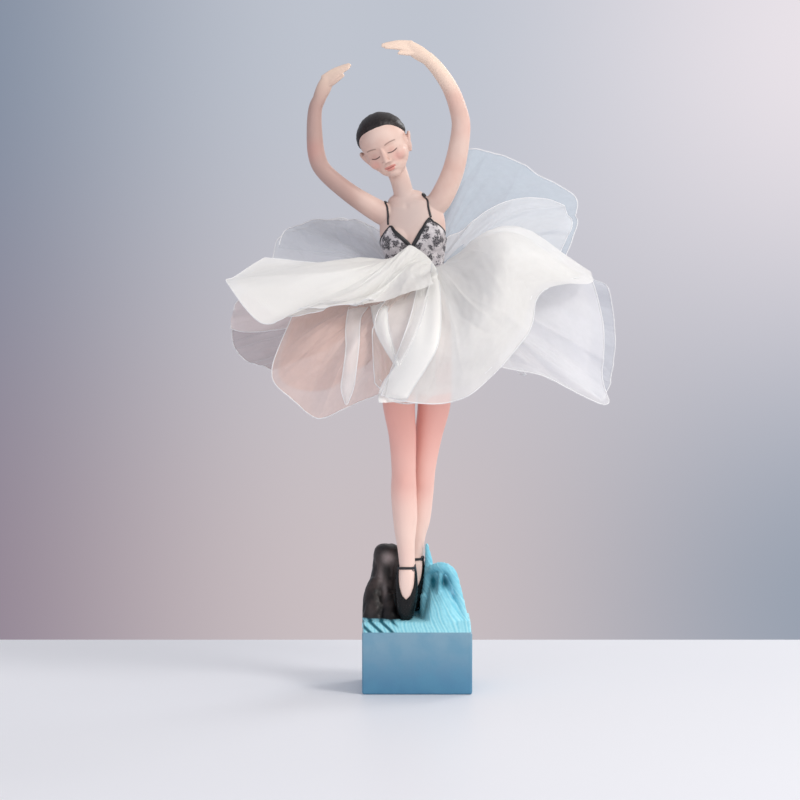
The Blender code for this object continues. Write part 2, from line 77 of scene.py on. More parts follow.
class Nodes:
    """A tree of shader nodes, with short calls for those that this lesson uses."""

    def __init__(self, tree):
        self.tree = tree

    def put(self, value, socket):
        """Feeds a socket from another socket, a colour of six digits or a plain value."""
        if isinstance(value, bpy.types.NodeSocket):
            self.tree.links.new(value, socket)
        else:
            socket.default_value = (*linear(value), 1.0) if isinstance(value, str) else value

    def node(self, kind, settings=(), **sockets):
        """A new node; a socket is named, or numbered as i0, i1 and so on."""
        made = self.tree.nodes.new("ShaderNode" + kind)
        for name, value in dict(settings).items():
            setattr(made, name, value)
        for name, value in sockets.items():
            numbered = name[0] == "i" and name[1:].isdigit()
            self.put(value, made.inputs[int(name[1:]) if numbered else name.replace("_", " ")])
        return made

    def sum(self, operation, first, second=0.0, third=0.0):
        return self.node("Math", {"operation": operation}, i0=first, i1=second, i2=third).outputs[0]

    def times(self, first, second):
        return self.sum("MULTIPLY", first, second)

    def ramp(self, value, low, high, start=0.0, end=1.0, soft=True):
        """start below low, end above high, and a smooth way between."""
        settings = {"interpolation_type": "SMOOTHSTEP" if soft else "LINEAR"}
        limits = {"From_Min": low, "From_Max": high, "To_Min": start, "To_Max": end}
        return self.node("MapRange", settings, Value=value, **limits).outputs[0]

    def mix(self, share, first, second, blend="MIX"):
        settings = {"data_type": "RGBA", "blend_type": blend}
        return self.node("Mix", settings, i0=share, i6=first, i7=second).outputs[2]

    def parts(self, vector):
        return self.node("SeparateXYZ", Vector=vector).outputs[:]


class Paint(Nodes):
    """A Principled material, with short calls for its patterns and coats."""

    def __init__(self, name, roughness=0.5, **sockets):
        self.material = bpy.data.materials.new(name)
        self.material.use_nodes = True
        super().__init__(self.material.node_tree)
        self.shader = self.tree.nodes["Principled BSDF"]
        self.shader.inputs["Roughness"].default_value = roughness
        for socket, value in sockets.items():
            self.shader.inputs[socket.replace("_", " ")].default_value = value

    def place(self, at=(0, 0, 0), turn=(0, 0, 0), unit=MM):
        """Object coordinates as seen from a place, turned and measured in a unit."""
        source = self.node("TexCoord").outputs["Object"]
        settings = {"vector_type": "TEXTURE"}
        seen = {"Location": at, "Rotation": turn, "Scale": (unit, unit, unit)}
        return self.node("Mapping", settings, Vector=source, **seen).outputs[0]

    def cloud(self, vector, scale, detail=2.0, roughness=0.5):
        facts = {"Scale": scale, "Detail": detail, "Roughness": roughness}
        return self.node("TexNoise", Vector=vector, **facts).outputs[0]

    def spot(self, vector, at, size):
        """1 at a place, fading to 0 at one size away from it."""
        away = self.node("VectorMath", {"operation": "SUBTRACT"}, i0=vector, i1=at).outputs[0]
        away = self.node("VectorMath", {"operation": "DIVIDE"}, i0=away, i1=size).outputs[0]
        length = self.node("VectorMath", {"operation": "LENGTH"}, i0=away).outputs["Value"]
        return self.ramp(length, 0.0, 1.0, 1.0, 0.0)

    def coat(self, share, code):
        """Another colour over what is there, as dense as its share."""
        self.colour = self.mix(share, self.colour, code)

    def airbrush(self, vector, at, size, share, code):
        self.coat(self.times(self.spot(vector, at, size), share), code)

    def bump(self, height, depth, strength=1.0):
        made = self.node("Bump", Height=height, Distance=depth, Strength=strength)
        self.put(made.outputs[0], self.shader.inputs["Normal"])

    def finish(self, roughness=None):
        self.put(self.colour, self.shader.inputs["Base Color"])
        if roughness is not None:
            self.put(roughness, self.shader.inputs["Roughness"])
        return self.material


# %% Table, backdrop and lamps
TABLE_EDGE = 0.154
TABLE_HALF_WIDTH = 1.6
ROOM_STRENGTH = 0.92

bm = bmesh.new()
for corner in bmesh.ops.create_grid(bm, x_segments=2, y_segments=2, size=1.0)["verts"]:
    corner.co.x *= TABLE_HALF_WIDTH
    corner.co.y = TABLE_EDGE - (1 - corner.co.y) * TABLE_HALF_WIDTH
table_mesh = bpy.data.meshes.new("table")
bm.to_mesh(table_mesh)
bm.free()
table = bpy.data.objects.new("table", table_mesh)
scene.collection.objects.link(table)
paint = Paint("table paint", 0.45)
paint.colour = paint.mix(paint.cloud(paint.place(unit=1), 3.0), "E6E8EE", "EEEFF3")
table_mesh.materials.append(paint.finish())

# Each lamp's name, place, aim, size, power and colour
LAMPS = (
    ("key", (0.85, -0.68, 0.95), (0, 0, 0.17), 0.45, 7.4, (1.0, 0.975, 0.95)),
    ("fill", (-0.6, -1.0, 0.22), (0, 0, 0.16), 0.9, 2.5, (1.0, 0.94, 0.93)),
    ("rim", (0.7, 0.75, 0.7), (0, 0, 0.2), 0.5, 3.2, (0.95, 0.97, 1.0)),
)
for name, place, aim, size, power, colour in LAMPS:
    lamp = bpy.data.lights.new(name, "AREA")
    lamp.shape = "DISK"
    lamp.size = size
    lamp.energy = power
    lamp.color = colour
    thing = bpy.data.objects.new(name, lamp)
    scene.collection.objects.link(thing)
    thing.location = place
    thing.rotation_euler = (Vector(aim) - Vector(place)).to_track_quat("-Z", "Y").to_euler()

world = bpy.data.worlds.new("soft room")
scene.world = world
world.use_nodes = True
sky = Nodes(world.node_tree)
across, _, upwards = sky.parts(sky.node("TexCoord").outputs["Generated"])
from_left, to_right = sky.ramp(across, -0.19, -0.02), sky.ramp(across, 0.0, 0.17)
low = sky.mix(to_right, sky.mix(from_left, "8C7F8F", "C9BEC1"), "98A1B0")
high = sky.mix(to_right, sky.mix(from_left, "7C889C", "BFC4CF"), "EAE3E9")
backdrop = sky.mix(sky.ramp(upwards, -0.13, 0.09), low, high)
room = sky.mix(sky.ramp(across, -0.8, 0.8), "B4B8C4", "F6F2F0")
seen = sky.node("LightPath").outputs["Is Camera Ray"]
background = sky.tree.nodes["Background"]
sky.put(sky.mix(seen, room, backdrop), background.inputs["Color"])
strength = sky.ramp(seen, 0.0, 1.0, ROOM_STRENGTH, 1.0, soft=False)
sky.put(strength, background.inputs["Strength"])

# %% [markdown]
# ## Making shapes from grids
# Almost every form here is a sheet or a tube. Blender's grid operator makes the faces,
# and a small function says where each corner goes. A tube is a grid whose first and last
# columns meet; merging the doubles closes its seam and its poles.

# %% Shared helpers
STAND_LEVEL = 32
WAIST_LEVEL = 186
END_RISE = 0.55


def catmull_rom(before, one, two, after, t):
    """The smooth curve from one to two, led by the knots on either side of them."""
    return 0.5 * (
        2 * one
        + t * (two - before)
        + t * t * (2 * before - 5 * one + 4 * two - after)
        + t * t * t * (3 * one - before - 3 * two + after)
    )


def between(knots, at):
    """The curve through all the knots, from 0 at the first to 1 at the last."""
    place = min(max(at, 0.0), 1.0) * (len(knots) - 1)
    first = min(int(place), len(knots) - 2)
    one, two = knots[first], knots[first + 1]
    before = knots[first - 1] if first > 0 else 2 * one - two
    after = knots[first + 2] if first + 2 < len(knots) else 2 * two - one
    return catmull_rom(before, one, two, after, place - first)


def table_value(table, at):
    """The value at a place in a table of (place, value), straight between its rows."""
    for (left, low), (right, high) in zip(table, table[1:]):
        if left <= at <= right:
            return low + (high - low) * (at - left) / (right - left)
    return table[-1][1]


def ease(low, high, at):
    """0 below low, 1 above high, and a soft slope between; at may be an array."""
    t = np.clip((at - low) / (high - low), 0.0, 1.0)
    return t * t * (3 - 2 * t)


def raised(place, level=STAND_LEVEL):
    """A place that is given in mm above a level."""
    return Vector(place) + Vector((0, 0, level))


def shaped_grid(bm, columns, rows, place):
    """A grid of faces whose corners go to place(u, v), with u and v from 0 to 1."""
    corners = bmesh.ops.create_grid(bm, x_segments=columns, y_segments=rows, size=1.0)["verts"]
    for corner in corners:
        u = round((corner.co.x + 1) / 2 * columns) / columns
        v = round((corner.co.y + 1) / 2 * rows) / rows
        corner.co = place(u, v)
    return corners


def shaped_tube(bm, sides, rows, place):
    """A shaped grid closed into a tube, or into a shell where its ends run to points."""
    corners = shaped_grid(bm, sides, rows, place)
    bmesh.ops.remove_doubles(bm, verts=corners, dist=1e-7)


def limb(bm, stations, extra=0.0, sides=28, steps=7, level=STAND_LEVEL, cap_rows=6):
    """A rounded limb through stations of (place, half width[, half depth]), in mm above a level."""
    middles = [raised(station[0], level) for station in stations]
    widths = [station[1] + extra for station in stations]
    depths = [station[-1] + extra for station in stations]
    body_rows = (len(stations) - 1) * steps
    rings = []
    for k in range(body_rows + 2 * cap_rows + 1):
        at = min(max(k - cap_rows, 0), body_rows) / body_rows
        ahead, behind = (between(middles, min(max(at + step, 0.0), 1.0)) for step in (0.02, -0.02))
        along = (ahead - behind).normalized()
        deep = along.cross(Vector((1, 0, 0)))
        deep = deep.normalized() if deep.length > 0.3 else Vector((0, 1, 0))
        wide = deep.cross(along).normalized()
        past = max(cap_rows - k, k - cap_rows - body_rows, 0) / cap_rows * math.pi / 2
        half_width, half_depth, size = between(widths, at), between(depths, at), math.cos(past)
        out = math.sin(past) * half_width * END_RISE * (-1 if k < cap_rows else 1)
        middle = between(middles, at) + along * out
        rings.append((middle, wide * half_width * size, deep * half_depth * size))

    def place(u, v):
        middle, wide, deep = rings[round(v * (len(rings) - 1))]
        angle = math.tau * u
        return (middle + wide * math.cos(angle) + deep * math.sin(angle)) * MM

    shaped_tube(bm, sides, len(rings) - 1, place)


def ball(bm, middle, radii, turn=None):
    """An egg with half sizes radii, in mm, its poles on its own Z axis."""
    turn = (turn or Matrix.Identity(4)).to_3x3()

    def place(u, v):
        out, angle = math.sin(math.pi * v), math.tau * u
        wide, deep = radii[0] * out * math.cos(angle), radii[1] * out * math.sin(angle)
        return (Vector(middle) + turn @ Vector((wide, deep, radii[2] * math.cos(math.pi * v)))) * MM

    shaped_tube(bm, 48, 30, place)


def piece_from(bm, name):
    bmesh.ops.recalc_face_normals(bm, faces=bm.faces[:])
    mesh = bpy.data.meshes.new(name)
    bm.to_mesh(mesh)
    bm.free()
    thing = bpy.data.objects.new(name, mesh)
    scene.collection.objects.link(thing)
    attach(thing, "root")
    return thing


def made_real(thing):
    """Turns the object's modifiers into its mesh."""
    depsgraph = bpy.context.evaluated_depsgraph_get()
    mesh = bpy.data.meshes.new_from_object(thing.evaluated_get(depsgraph), depsgraph=depsgraph)
    thing.modifiers.clear()
    thing.data = mesh


def shelled(thing, thickness):
    """Gives a single skin a thickness in mm, measured inwards."""
    shell = thing.modifiers.new("thickness", "SOLIDIFY")
    shell.thickness = thickness * MM
    shell.offset = -1
    made_real(thing)
    thing.data.shade_smooth()


def fused(thing, voxel, smoothing):
    """One skin over everything that the mesh overlaps, with its joins softened."""
    remesh = thing.modifiers.new("one casting", "REMESH")
    remesh.mode = "VOXEL"
    remesh.voxel_size = voxel * MM
    smooth = thing.modifiers.new("soft joins", "SMOOTH")
    smooth.factor = 0.5
    smooth.iterations = smoothing
    made_real(thing)


def triangles_in(thing):
    return sum(len(face.vertices) - 2 for face in thing.data.polygons)


def thinned(thing, triangles):
    """Fewer triangles where the surface is plain; done a thousand times up, as tiny edges
    round badly."""
    mesh = thing.data
    middle = Vector((0, 0, sum(corner.co.z for corner in mesh.vertices) / len(mesh.vertices)))
    larger = Matrix.Scale(1 / MM, 4) @ Matrix.Translation(-middle)
    mesh.transform(larger)
    step = thing.modifiers.new("fewer faces", "DECIMATE")
    step.ratio = triangles / triangles_in(thing)
    made_real(thing)
    thing.data.transform(larger.inverted())
    thing.data.shade_smooth()


def corners_of(thing):
    """The corner places and normals of a mesh, in mm, as two arrays."""
    count = len(thing.data.vertices)
    places, normals = np.empty(count * 3), np.empty(count * 3)
    thing.data.vertices.foreach_get("co", places)
    thing.data.vertices.foreach_get("normal", normals)
    return places.reshape(-1, 3) / MM, normals.reshape(-1, 3)


def move_corners(thing, places):
    thing.data.vertices.foreach_set("co", (places * MM).ravel())
    thing.data.update()


def swell(places, at, size, rise):
    """A soft swelling of the given rise round a place, or a dent where the rise is below 0."""
    away = (places - np.array(at)) / np.array(size)
    return rise * np.exp(-(away ** 2).sum(axis=1))


# %% [markdown]
# ## The dancer
# The real dancer is one resin casting. Its limbs are lofted through the same named
# stations as the solid, fused by a voxel remesh, and then modelled as in wax: small
# swellings and dents for the face, collarbones, knees, back and shoulder blades.

# %% Stations of the dancer
# Each station is a place and a half width, then a half depth where it differs, and a tilt
TORSO = (
    ((-0.5, 1.0, 115), 8.0, 7.0, 0), ((-0.5, 1.0, 120), 13.5, 10.0, 0),
    ((-0.4, 1.2, 129), 16.0, 12.0, 0), ((-0.2, 1.0, 138), 15.0, 11.3, 0),
    ((0.0, 0.4, 146), 12.2, 9.4, 1), ((0.0, 0.0, 154), 10.6, 8.4, 2),
    ((-0.4, 0.0, 161), 12.2, 9.0, 5), ((-1.4, -0.2, 170), 14.4, 9.6, 8),
    ((-2.2, 0.0, 179), 15.0, 8.8, 11), ((-3.4, 0.8, 186), 13.0, 7.2, 13),
    ((-5.0, 1.4, 190.5), 8.5, 5.4, 13),
)
NECK = (
    ((-5.0, 1.2, 188), 5.6), ((-6.0, 0.6, 193), 4.6), ((-7.6, -0.6, 199), 4.4),
    ((-9.8, -1.6, 205), 4.7),
)
ARM_ON_RIGHT = (
    ((5.5, 0.8, 186.0), 5.2), ((10.6, 0, 190.5), 5.3), ((16.6, -2, 204), 4.9),
    ((19.8, -4, 221.5), 4.3), ((18.4, -5.5, 231), 3.95), ((14.9, -7, 240.0), 3.6),
    ((9.6, -8.3, 248.0), 3.3), ((4.6, -9, 253.4), 3.0),
)
ARM_ON_LEFT = (
    ((-11.0, 0.8, 182.5), 5.2), ((-16.6, 0, 184.5), 5.2), ((-30.2, -3, 193), 4.3),
    ((-41.5, -5.5, 202.5), 3.9), ((-45.2, -6.8, 210), 3.9), ((-46.2, -8, 221), 3.5),
    ((-45.8, -8.8, 230.5), 3.1), ((-43.6, -9, 236), 2.9),
)
LEG_IN_FRONT = (
    ((-7.6, -0.5, 124), 9.0), ((-8.2, -2.5, 110), 8.2), ((-8.2, -4.0, 97.5), 7.3),
    ((-6.6, -5.0, 83.5), 6.2), ((-6.0, -5.2, 68.0), 5.5), ((-6.0, -4.0, 58.0), 5.8),
    ((-5.4, -4.0, 47.0), 5.6), ((-5.3, -5.0, 40.0), 4.9), ((-5.0, -6.0, 34.0), 4.1),
    ((-4.4, -7.0, 24.0), 3.5),
)
SHOE_IN_FRONT = (
    ((-4.6, -6.6, 25.0), 3.9, 4.0), ((-4.7, -7.6, 20.0), 4.7, 4.6),
    ((-4.8, -8.2, 14.0), 5.0, 4.4), ((-5.0, -8.2, 8.0), 4.6, 3.8),
    ((-5.2, -8.0, 3.0), 3.8, 3.2), ((-5.2, -8.0, 0.4), 3.0, 2.7),
)
LEG_BEHIND = (
    ((7.0, 2.0, 124), 9.0), ((7.6, 3.0, 110), 8.2), ((7.8, 4.0, 97.0), 7.5),
    ((5.3, 4.4, 83.0), 6.3), ((3.1, 5.0, 68.5), 5.6), ((1.8, 6.4, 56.0), 5.8),
    ((0.8, 7.2, 45.0), 5.5), ((-0.3, 7.0, 38.5), 4.8), ((-0.6, 7.0, 33.0), 4.0),
    ((-0.9, 7.0, 26.0), 3.5),
)
SHOE_BEHIND = (
    ((-0.8, 6.8, 27.0), 3.9, 4.0), ((-1.0, 6.6, 22.0), 4.6, 4.6),
    ((-1.4, 6.4, 16.0), 4.8, 4.4), ((-1.8, 6.2, 10.0), 4.4, 3.8), ((-2.0, 6.2, 5.0), 3.7, 3.2),
    ((-2.0, 6.2, 2.4), 3.0, 2.7),
)
TORSO_MIDDLES = [raised(row[0]) for row in TORSO]
HEAD_MIDDLE = raised((-14.6, -3.0, 214.8))
HEAD_TURN = (
    Matrix.Rotation(math.radians(-24), 4, "Y")
    @ Matrix.Rotation(math.radians(-13), 4, "Z")
    @ Matrix.Rotation(math.radians(12), 4, "X")
)

# Wrist, knuckles and finger tips, which way the hand is broad, and the thumb's root and tip
HAND_ON_RIGHT = (
    (4.6, -9, 253.2), (-3.6, -10.0, 258.4), (-15.8, -11.2, 258.9), (-0.2, 0.1, 0.97),
    (0.4, -9.8, 256.0), (-8.4, -11.8, 255.4),
)
HAND_ON_LEFT = (
    (-43.8, -9, 236), (-40.0, -10.0, 244.0), (-30.2, -11.2, 250.4), (-0.66, 0.1, 0.75),
    (-41.6, -9.8, 240.2), (-33.0, -11.8, 245.6),
)


# %% Lofting the casting
def torso(bm, sides=96, cap=5):
    widths, depths, tilts = ([row[k] for row in TORSO] for k in (1, 2, 3))
    rows = (len(TORSO) - 1) * 6

    def place(u, v):
        row = v * (rows + 2 * cap) - cap
        at = min(max(row / rows, 0.0), 1.0)
        past = max(-row, row - rows, 0) / cap * math.pi / 2
        wide = between(widths, at) * math.cos(math.tau * u) * math.cos(past)
        deep = between(depths, at) * math.sin(math.tau * u) * math.cos(past)
        offset = Vector((wide, deep, math.sin(past) * 4 * (-1 if row < 0 else 1)))
        tilt = Matrix.Rotation(math.radians(-between(tilts, at)), 3, "Y")
        return (between(TORSO_MIDDLES, at) + tilt @ offset) * MM

    shaped_tube(bm, sides, rows + 2 * cap, place)


def in_head(place):
    """A place in the head's own frame, in mm, as a place in the part's frame."""
    return HEAD_MIDDLE + HEAD_TURN @ Vector(place)


def head_limb(bm, stations, sides, steps=7):
    stations = [(in_head(place), size) for place, size in stations]
    limb(bm, stations, level=0, sides=sides, steps=steps)


def head(bm):
    """Skull, cheeks and jaw as balls, then the nose and the ears."""
    for middle, radii in (
        ((0, 1.2, 3.4), (10.6, 12.4, 10.8)),
        ((0, -1.4, -2.6), (9.7, 10.0, 10.6)),
        ((0, -3.6, -7.6), (7.0, 7.2, 6.6)),
        ((0, -7.0, -11.6), (3.2, 3.2, 2.7)),
        ((-5.0, -5.6, -4.2), (4.0, 4.4, 4.2)),
        ((5.0, -5.6, -4.2), (4.0, 4.4, 4.2)),
        ((0, 12.6, -1.0), (4.6, 3.2, 4.6)),
    ):
        ball(bm, in_head(middle), radii, HEAD_TURN)
    nose = (0, -10.5, 1.0), (0, -11.6, -1.8), (0, -12.7, -4.4), (0, -12.9, -5.1)
    head_limb(bm, zip(nose, (0.8, 0.9, 1.15, 1.2)), 20)
    for side in (-1, 1):
        ball(bm, in_head((side * 1.35, -11.7, -5.4)), (0.95, 1.2, 0.85), HEAD_TURN)
        ear = []
        for k in range(9):
            bend = 0.6 + 4.4 * k / 8
            out = 10.0 + 0.9 * math.sin(3.1 * k / 8) + 1.5 * math.sin(bend)
            rim = (side * out, 2.0 + 2.2 * math.cos(bend), -3.2 + 3.7 * math.sin(bend))
            ear.append((rim, 0.72))
        head_limb(bm, ear, 12, 3)
        ball(bm, in_head((side * 9.8, 1.4, -3.0)), (1.4, 3.0, 3.8), HEAD_TURN)
        ball(bm, in_head((side * 9.5, 1.0, -6.6)), (0.8, 1.0, 1.1), HEAD_TURN)


# Each finger's place across the palm, its reach and its thickness
FINGERS = ((-1.95, 0.90, 0.86), (-0.68, 1.0, 0.92), (0.62, 0.98, 0.90), (1.85, 0.86, 0.78))


def digit(bm, start, bend, end, sizes):
    limb(bm, list(zip((start, bend, end), sizes)), steps=6, sides=14, cap_rows=4)


def hand(bm, *places):
    """A palm with four fingers side by side and a thumb a little apart."""
    wrist, knuckles, tips, broad, thumb, thumb_tip = (Vector(place) for place in places)
    toward = Vector((0, -1, 0))
    palm = (wrist, 2.95, 2.9), ((wrist + knuckles) / 2, 3.3, 2.2), (knuckles, 2.9, 1.35)
    limb(bm, palm, steps=5)
    for k, (spread, reach, size) in enumerate(FINGERS):
        start = knuckles + broad * spread - (tips - knuckles) * 0.12
        end = knuckles + (tips - knuckles) * reach + broad * spread * 0.5 + toward * (0.8 - 0.5 * k)
        bend = (start + end) / 2 + broad * 0.55 + toward * 0.3
        digit(bm, start, bend, end, (size * 1.45, size * 1.12, size * 0.76))
    digit(bm, thumb, (thumb + thumb_tip) / 2 - broad * 0.35, thumb_tip, (1.4, 1.05, 0.72))


DANCER_VOXEL = 0.3
DANCER_TRIANGLES = 150000

bm = bmesh.new()
torso(bm)
for cup in ((-8.2, -5.6, 171.2), (5.4, -5.6, 173.2)):
    ball(bm, raised(cup), (7.2, 4.8, 7.4))
limb(bm, NECK)
for stations in (ARM_ON_RIGHT, ARM_ON_LEFT, LEG_IN_FRONT, LEG_BEHIND):
    limb(bm, stations, sides=40)
for stations in (SHOE_IN_FRONT, SHOE_BEHIND):
    limb(bm, stations[:-1], extra=-0.4, sides=32)
hand(bm, *HAND_ON_RIGHT)
hand(bm, *HAND_ON_LEFT)
head(bm)
dancer = piece_from(bm, "dancer_casting")
fused(dancer, DANCER_VOXEL, 4)
print("dancer corners after fusing:", len(dancer.data.vertices))

# %% Modelling the face and the body
# Sockets, lids, brows, lips and nostrils come in pairs: place, size and rise
PAIRED_MODELLING = (
    ((4.0, -9.5, -1.1), (2.9, 6, 2.0), -1.25),
    ((4.1, -9.5, -1.6), (1.9, 6, 1.25), 0.95),
    ((4.4, -9.5, 1.7), (3.4, 6, 0.9), 0.30),
    ((1.2, -9.5, -8.0), (1.4, 6, 0.55), 0.50),
    ((2.9, -9.5, -8.6), (0.9, 6, 1.0), -0.30),
    ((0.75, -12.5, -6.2), (0.5, 2, 0.35), -0.35),
)
# Lower lip, mouth line, the hollow under it and the groove above it
MIDDLE_MODELLING = (
    ((0, -9.5, -9.5), (1.7, 6, 0.62), 0.62),
    ((0, -9.5, -8.75), (2.4, 6, 0.24), -0.42),
    ((0, -9.5, -10.8), (2.2, 6, 0.7), -0.35),
    ((0, -9.5, -7.0), (0.5, 6, 0.7), -0.18),
)
# Collarbones, knees, the line of the back and the shoulder blades
BODY_MODELLING = (
    ((-9.5, -7, 186.6), (5.0, 5, 1.1), 0.55),
    ((1.5, -6, 189.6), (4.6, 5, 1.1), 0.55),
    ((-4.9, -7, 187.2), (1.2, 4, 1.4), -0.5),
    ((-8.2, -10, 58.0), (3.4, 5, 4.0), 0.35),
    ((-2.2, 8.5, 174), (1.2, 5, 18), -0.6),
    ((-8.5, 9, 178), (4.0, 5, 5.5), 0.7),
    ((4.5, 9, 180), (4.0, 5, 5.5), 0.7),
    ((-5.9, -10.4, 62.5), (3.0, 4, 3.2), 0.45),
    ((2.6, -1.0, 61.0), (3.0, 4, 3.2), 0.35),
)
places, normals = corners_of(dancer)
turn = np.array(HEAD_TURN.to_3x3())
on_head = (places - np.array(HEAD_MIDDLE)) @ turn
front = 1 / (1 + np.exp((on_head[:, 1] + 6.5) * 2.0))
lift = np.zeros(len(places))
for side in (-1, 1):
    for (x, y, z), size, rise in PAIRED_MODELLING:
        lift += swell(on_head, (side * x, y, z), size, rise)
for at, size, rise in MIDDLE_MODELLING:
    lift += swell(on_head, at, size, rise)
lash_line = -2.5 + 0.10 * (np.abs(on_head[:, 0]) - 4.1) ** 2
for side in (-1, 1):
    aside = ((on_head[:, 0] - side * 4.1) / 2.1) ** 4
    lift -= 0.32 * np.exp(-((on_head[:, 2] - lash_line) / 0.26) ** 2 - aside)
places += np.outer(lift * front, turn @ np.array((0, -1, 0)))
body = places - np.array((0, 0, STAND_LEVEL))
lift = np.zeros(len(places))
for at, size, rise in BODY_MODELLING:
    lift += swell(body, at, size, rise)
places += normals * lift[:, None]
move_corners(dancer, places)
thinned(dancer, DANCER_TRIANGLES)
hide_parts("dancer")
skin = BVHTree.FromObject(dancer, bpy.context.evaluated_depsgraph_get())
print("dancer triangles:", triangles_in(dancer))

# %% [markdown]
# ## Skin paint
# The casting is sprayed a pale matt flesh tone, airbrushed pink at the cheeks, elbows,
# knees and ankles, with painted shade on the arm on the left and painted light on the hands.
# Brows, lids and lips are painted on. The pattern is measured in the head's own frame,
# so it turns with the head.

# %% Skin
HEAD_ANGLES = tuple(HEAD_TURN.to_euler("XYZ"))
# Knees, ankles, elbows and a wrist: place above the stand, size and share of pink
PINK_SPOTS = (
    ((-6, -10, 62), (9, 12, 12), 0.3),
    ((2.4, -1, 60), (9, 12, 12), 0.3),
    ((-4.6, -7, 30), (8, 9, 12), 0.15),
    ((-0.8, 7, 33), (8, 9, 12), 0.15),
    ((-47, -8, 212), (7, 8, 9), 0.35),
    ((22, -4, 222), (7, 8, 9), 0.3),
    ((17, -6, 236), (6, 8, 7), 0.25),
)
# Brows, lash lines, upper and lower lips and the mouth: the arc, its share and its colour
BRUSH_LINES = (
    ((4.6, 2.0, -0.06, 2.8, 0.42), 0.6, "6E5148"),
    ((4.1, -2.5, 0.10, 2.5, 0.34), 0.85, "3A2A28"),
    ((1.0, -8.2, -0.12, 1.9, 0.7), 0.7, "CC6F66"),
    ((0.0, -9.55, 0.12, 2.1, 0.9), 0.7, "D47B70"),
    ((0.0, -8.77, 0.03, 2.4, 0.22), 0.75, "9C4A45"),
)
paint = Paint("painted flesh", 0.5, Specular_IOR_Level=0.35)
on_body = paint.place()
on_face = paint.place(tuple(HEAD_MIDDLE * MM), HEAD_ANGLES)
across, _, height = paint.parts(on_body)
x, y, z = paint.parts(on_face)
half, facing = paint.sum("ABSOLUTE", x), paint.ramp(y, -3.0, -6.0)


def painted_arc(middle, height, bend, reach, thick):
    """A brush line on the face: an arc about x = middle, bent by so much per square mm."""
    aside = paint.sum("SUBTRACT", half, middle)
    curve = paint.sum("MULTIPLY_ADD", paint.times(aside, aside), bend, height)
    off = paint.sum("ABSOLUTE", paint.sum("SUBTRACT", z, curve))
    end = paint.ramp(paint.sum("ABSOLUTE", aside), reach * 0.75, reach, 1.0, 0.0)
    line = paint.ramp(off, thick * 0.5, thick, 1.0, 0.0)
    return paint.times(paint.times(line, end), facing)


mottle = paint.ramp(paint.cloud(on_body, 0.09, 3), 0.3, 0.7)
paint.colour = paint.mix(mottle, "E2C7BB", "DBB9AC")
paint.coat(paint.ramp(height, 190, 125), "EDB1A6")
paint.coat(paint.ramp(height, 125, 60), "F3D6CA")
# Painted shade: the arm on the left, away from the key lamp, is sprayed darker and browner
paint.coat(paint.times(paint.ramp(across, -18, -34), 0.85), "B1928A")
# Painted light: the hands and forearm ends, high in the key lamp, are sprayed paler and warmer
paint.coat(paint.times(paint.ramp(height, 262, 284), 0.8), "F4DCC8")
paint.airbrush(on_body, raised((-3, -8, 184)), (22, 22, 28), 0.8, "C8B8B2")
for at, size, share in PINK_SPOTS:
    paint.airbrush(on_body, raised(at), size, share, "DE9488")
for side in (-1, 1):
    paint.airbrush(on_face, (side * 5.4, -8.5, -5.2), (4.4, 7, 3.8), 0.45, "DE8F86")
for side in (1, -1):
    paint.airbrush(on_face, (side * 4.1, -9, -1.6), (3.0, 7, 2.2), 0.35, "C98F84")
for arc, share, code in BRUSH_LINES:
    paint.coat(paint.times(painted_arc(*arc), share), code)
paint.bump(paint.cloud(on_body, 0.5, 2), 0.00002, 0.3)
dancer.data.materials.append(paint.finish())
print("nodes in the skin paint:", len(paint.tree.nodes))


# %% [markdown]
# ## Hair
# The short hair is smoothed back to a small bun. It is moulded, not strung: a cap that
# lies on the head, combed with grooves that all run back to the bun.

# %% Hair
HAIR_THICKNESS = 0.85
BUN_MIDDLE = Vector((0, 14.2, -1.0))
# How far forward the hair reaches, in degrees from the bun, by the angle round the head
HAIRLINE = (
    (0, 90), (8, 104), (25, 118), (45, 128), (65, 138), (90, 142), (115, 138), (135, 128),
    (155, 116), (172, 104), (180, 90), (184, 68), (192, 64), (212, 62), (230, 57), (250, 53),
    (270, 52), (290, 54), (318, 60), (338, 62), (348, 64), (356, 68), (360, 90),
)


def combed(angle, far):
    """How deep the comb's grooves are at an angle round the bun."""
    x, y = math.cos(angle), math.sin(angle)
    fine = noise.noise(Vector((x * 9, y * 9, far * 1.3)))
    broad = noise.noise(Vector((x * 3.2, y * 3.2, 5 + far * 0.8)))
    return 0.16 * fine + 0.22 * broad


def smooth_value(table, at, spread=5):
    low, high = table[0][0], table[-1][0]
    places = [min(max(at + step, low), high) for step in (-spread, 0, spread)]
    return sum(table_value(table, place) for place in places) / 3


def hair_point(u, v):
    angle = math.tau * u
    far = math.radians(smooth_value(HAIRLINE, math.degrees(angle))) * v
    out = math.sin(far)
    aim = HEAD_TURN @ Vector((out * math.cos(angle), math.cos(far), out * math.sin(angle)))
    start = in_head((0, 1.0, 2.0))
    hit, normal, _, _ = skin.ray_cast((start + aim * 21) * MM, -aim, 0.03)
    thick = HAIR_THICKNESS * (1 - max(0.0, v - 0.86) / 0.14) ** 0.5
    grooves = combed(angle, far) * ease(0.04, 0.3, v) * ease(1.0, 0.93, v)
    return hit + normal * (thick - 0.25 * ease(0.9, 1.0, v) + grooves) * MM


def bun_point(u, v):
    angle, far = math.tau * u, math.pi * v
    twisted = angle + 2.2 * math.cos(far)
    swirl = 0.35 * math.sin(5 * twisted) * math.sin(far)
    comb = 0.10 * noise.noise(Vector((12 * math.cos(twisted), 12 * math.sin(twisted), 0)))
    out, back = 5.0 * math.sin(far), 3.6 * math.cos(far)
    place = Vector((out * math.cos(angle), back, out * math.sin(angle))) * (1 + (swirl + comb) / 5)
    return in_head(BUN_MIDDLE + place) * MM


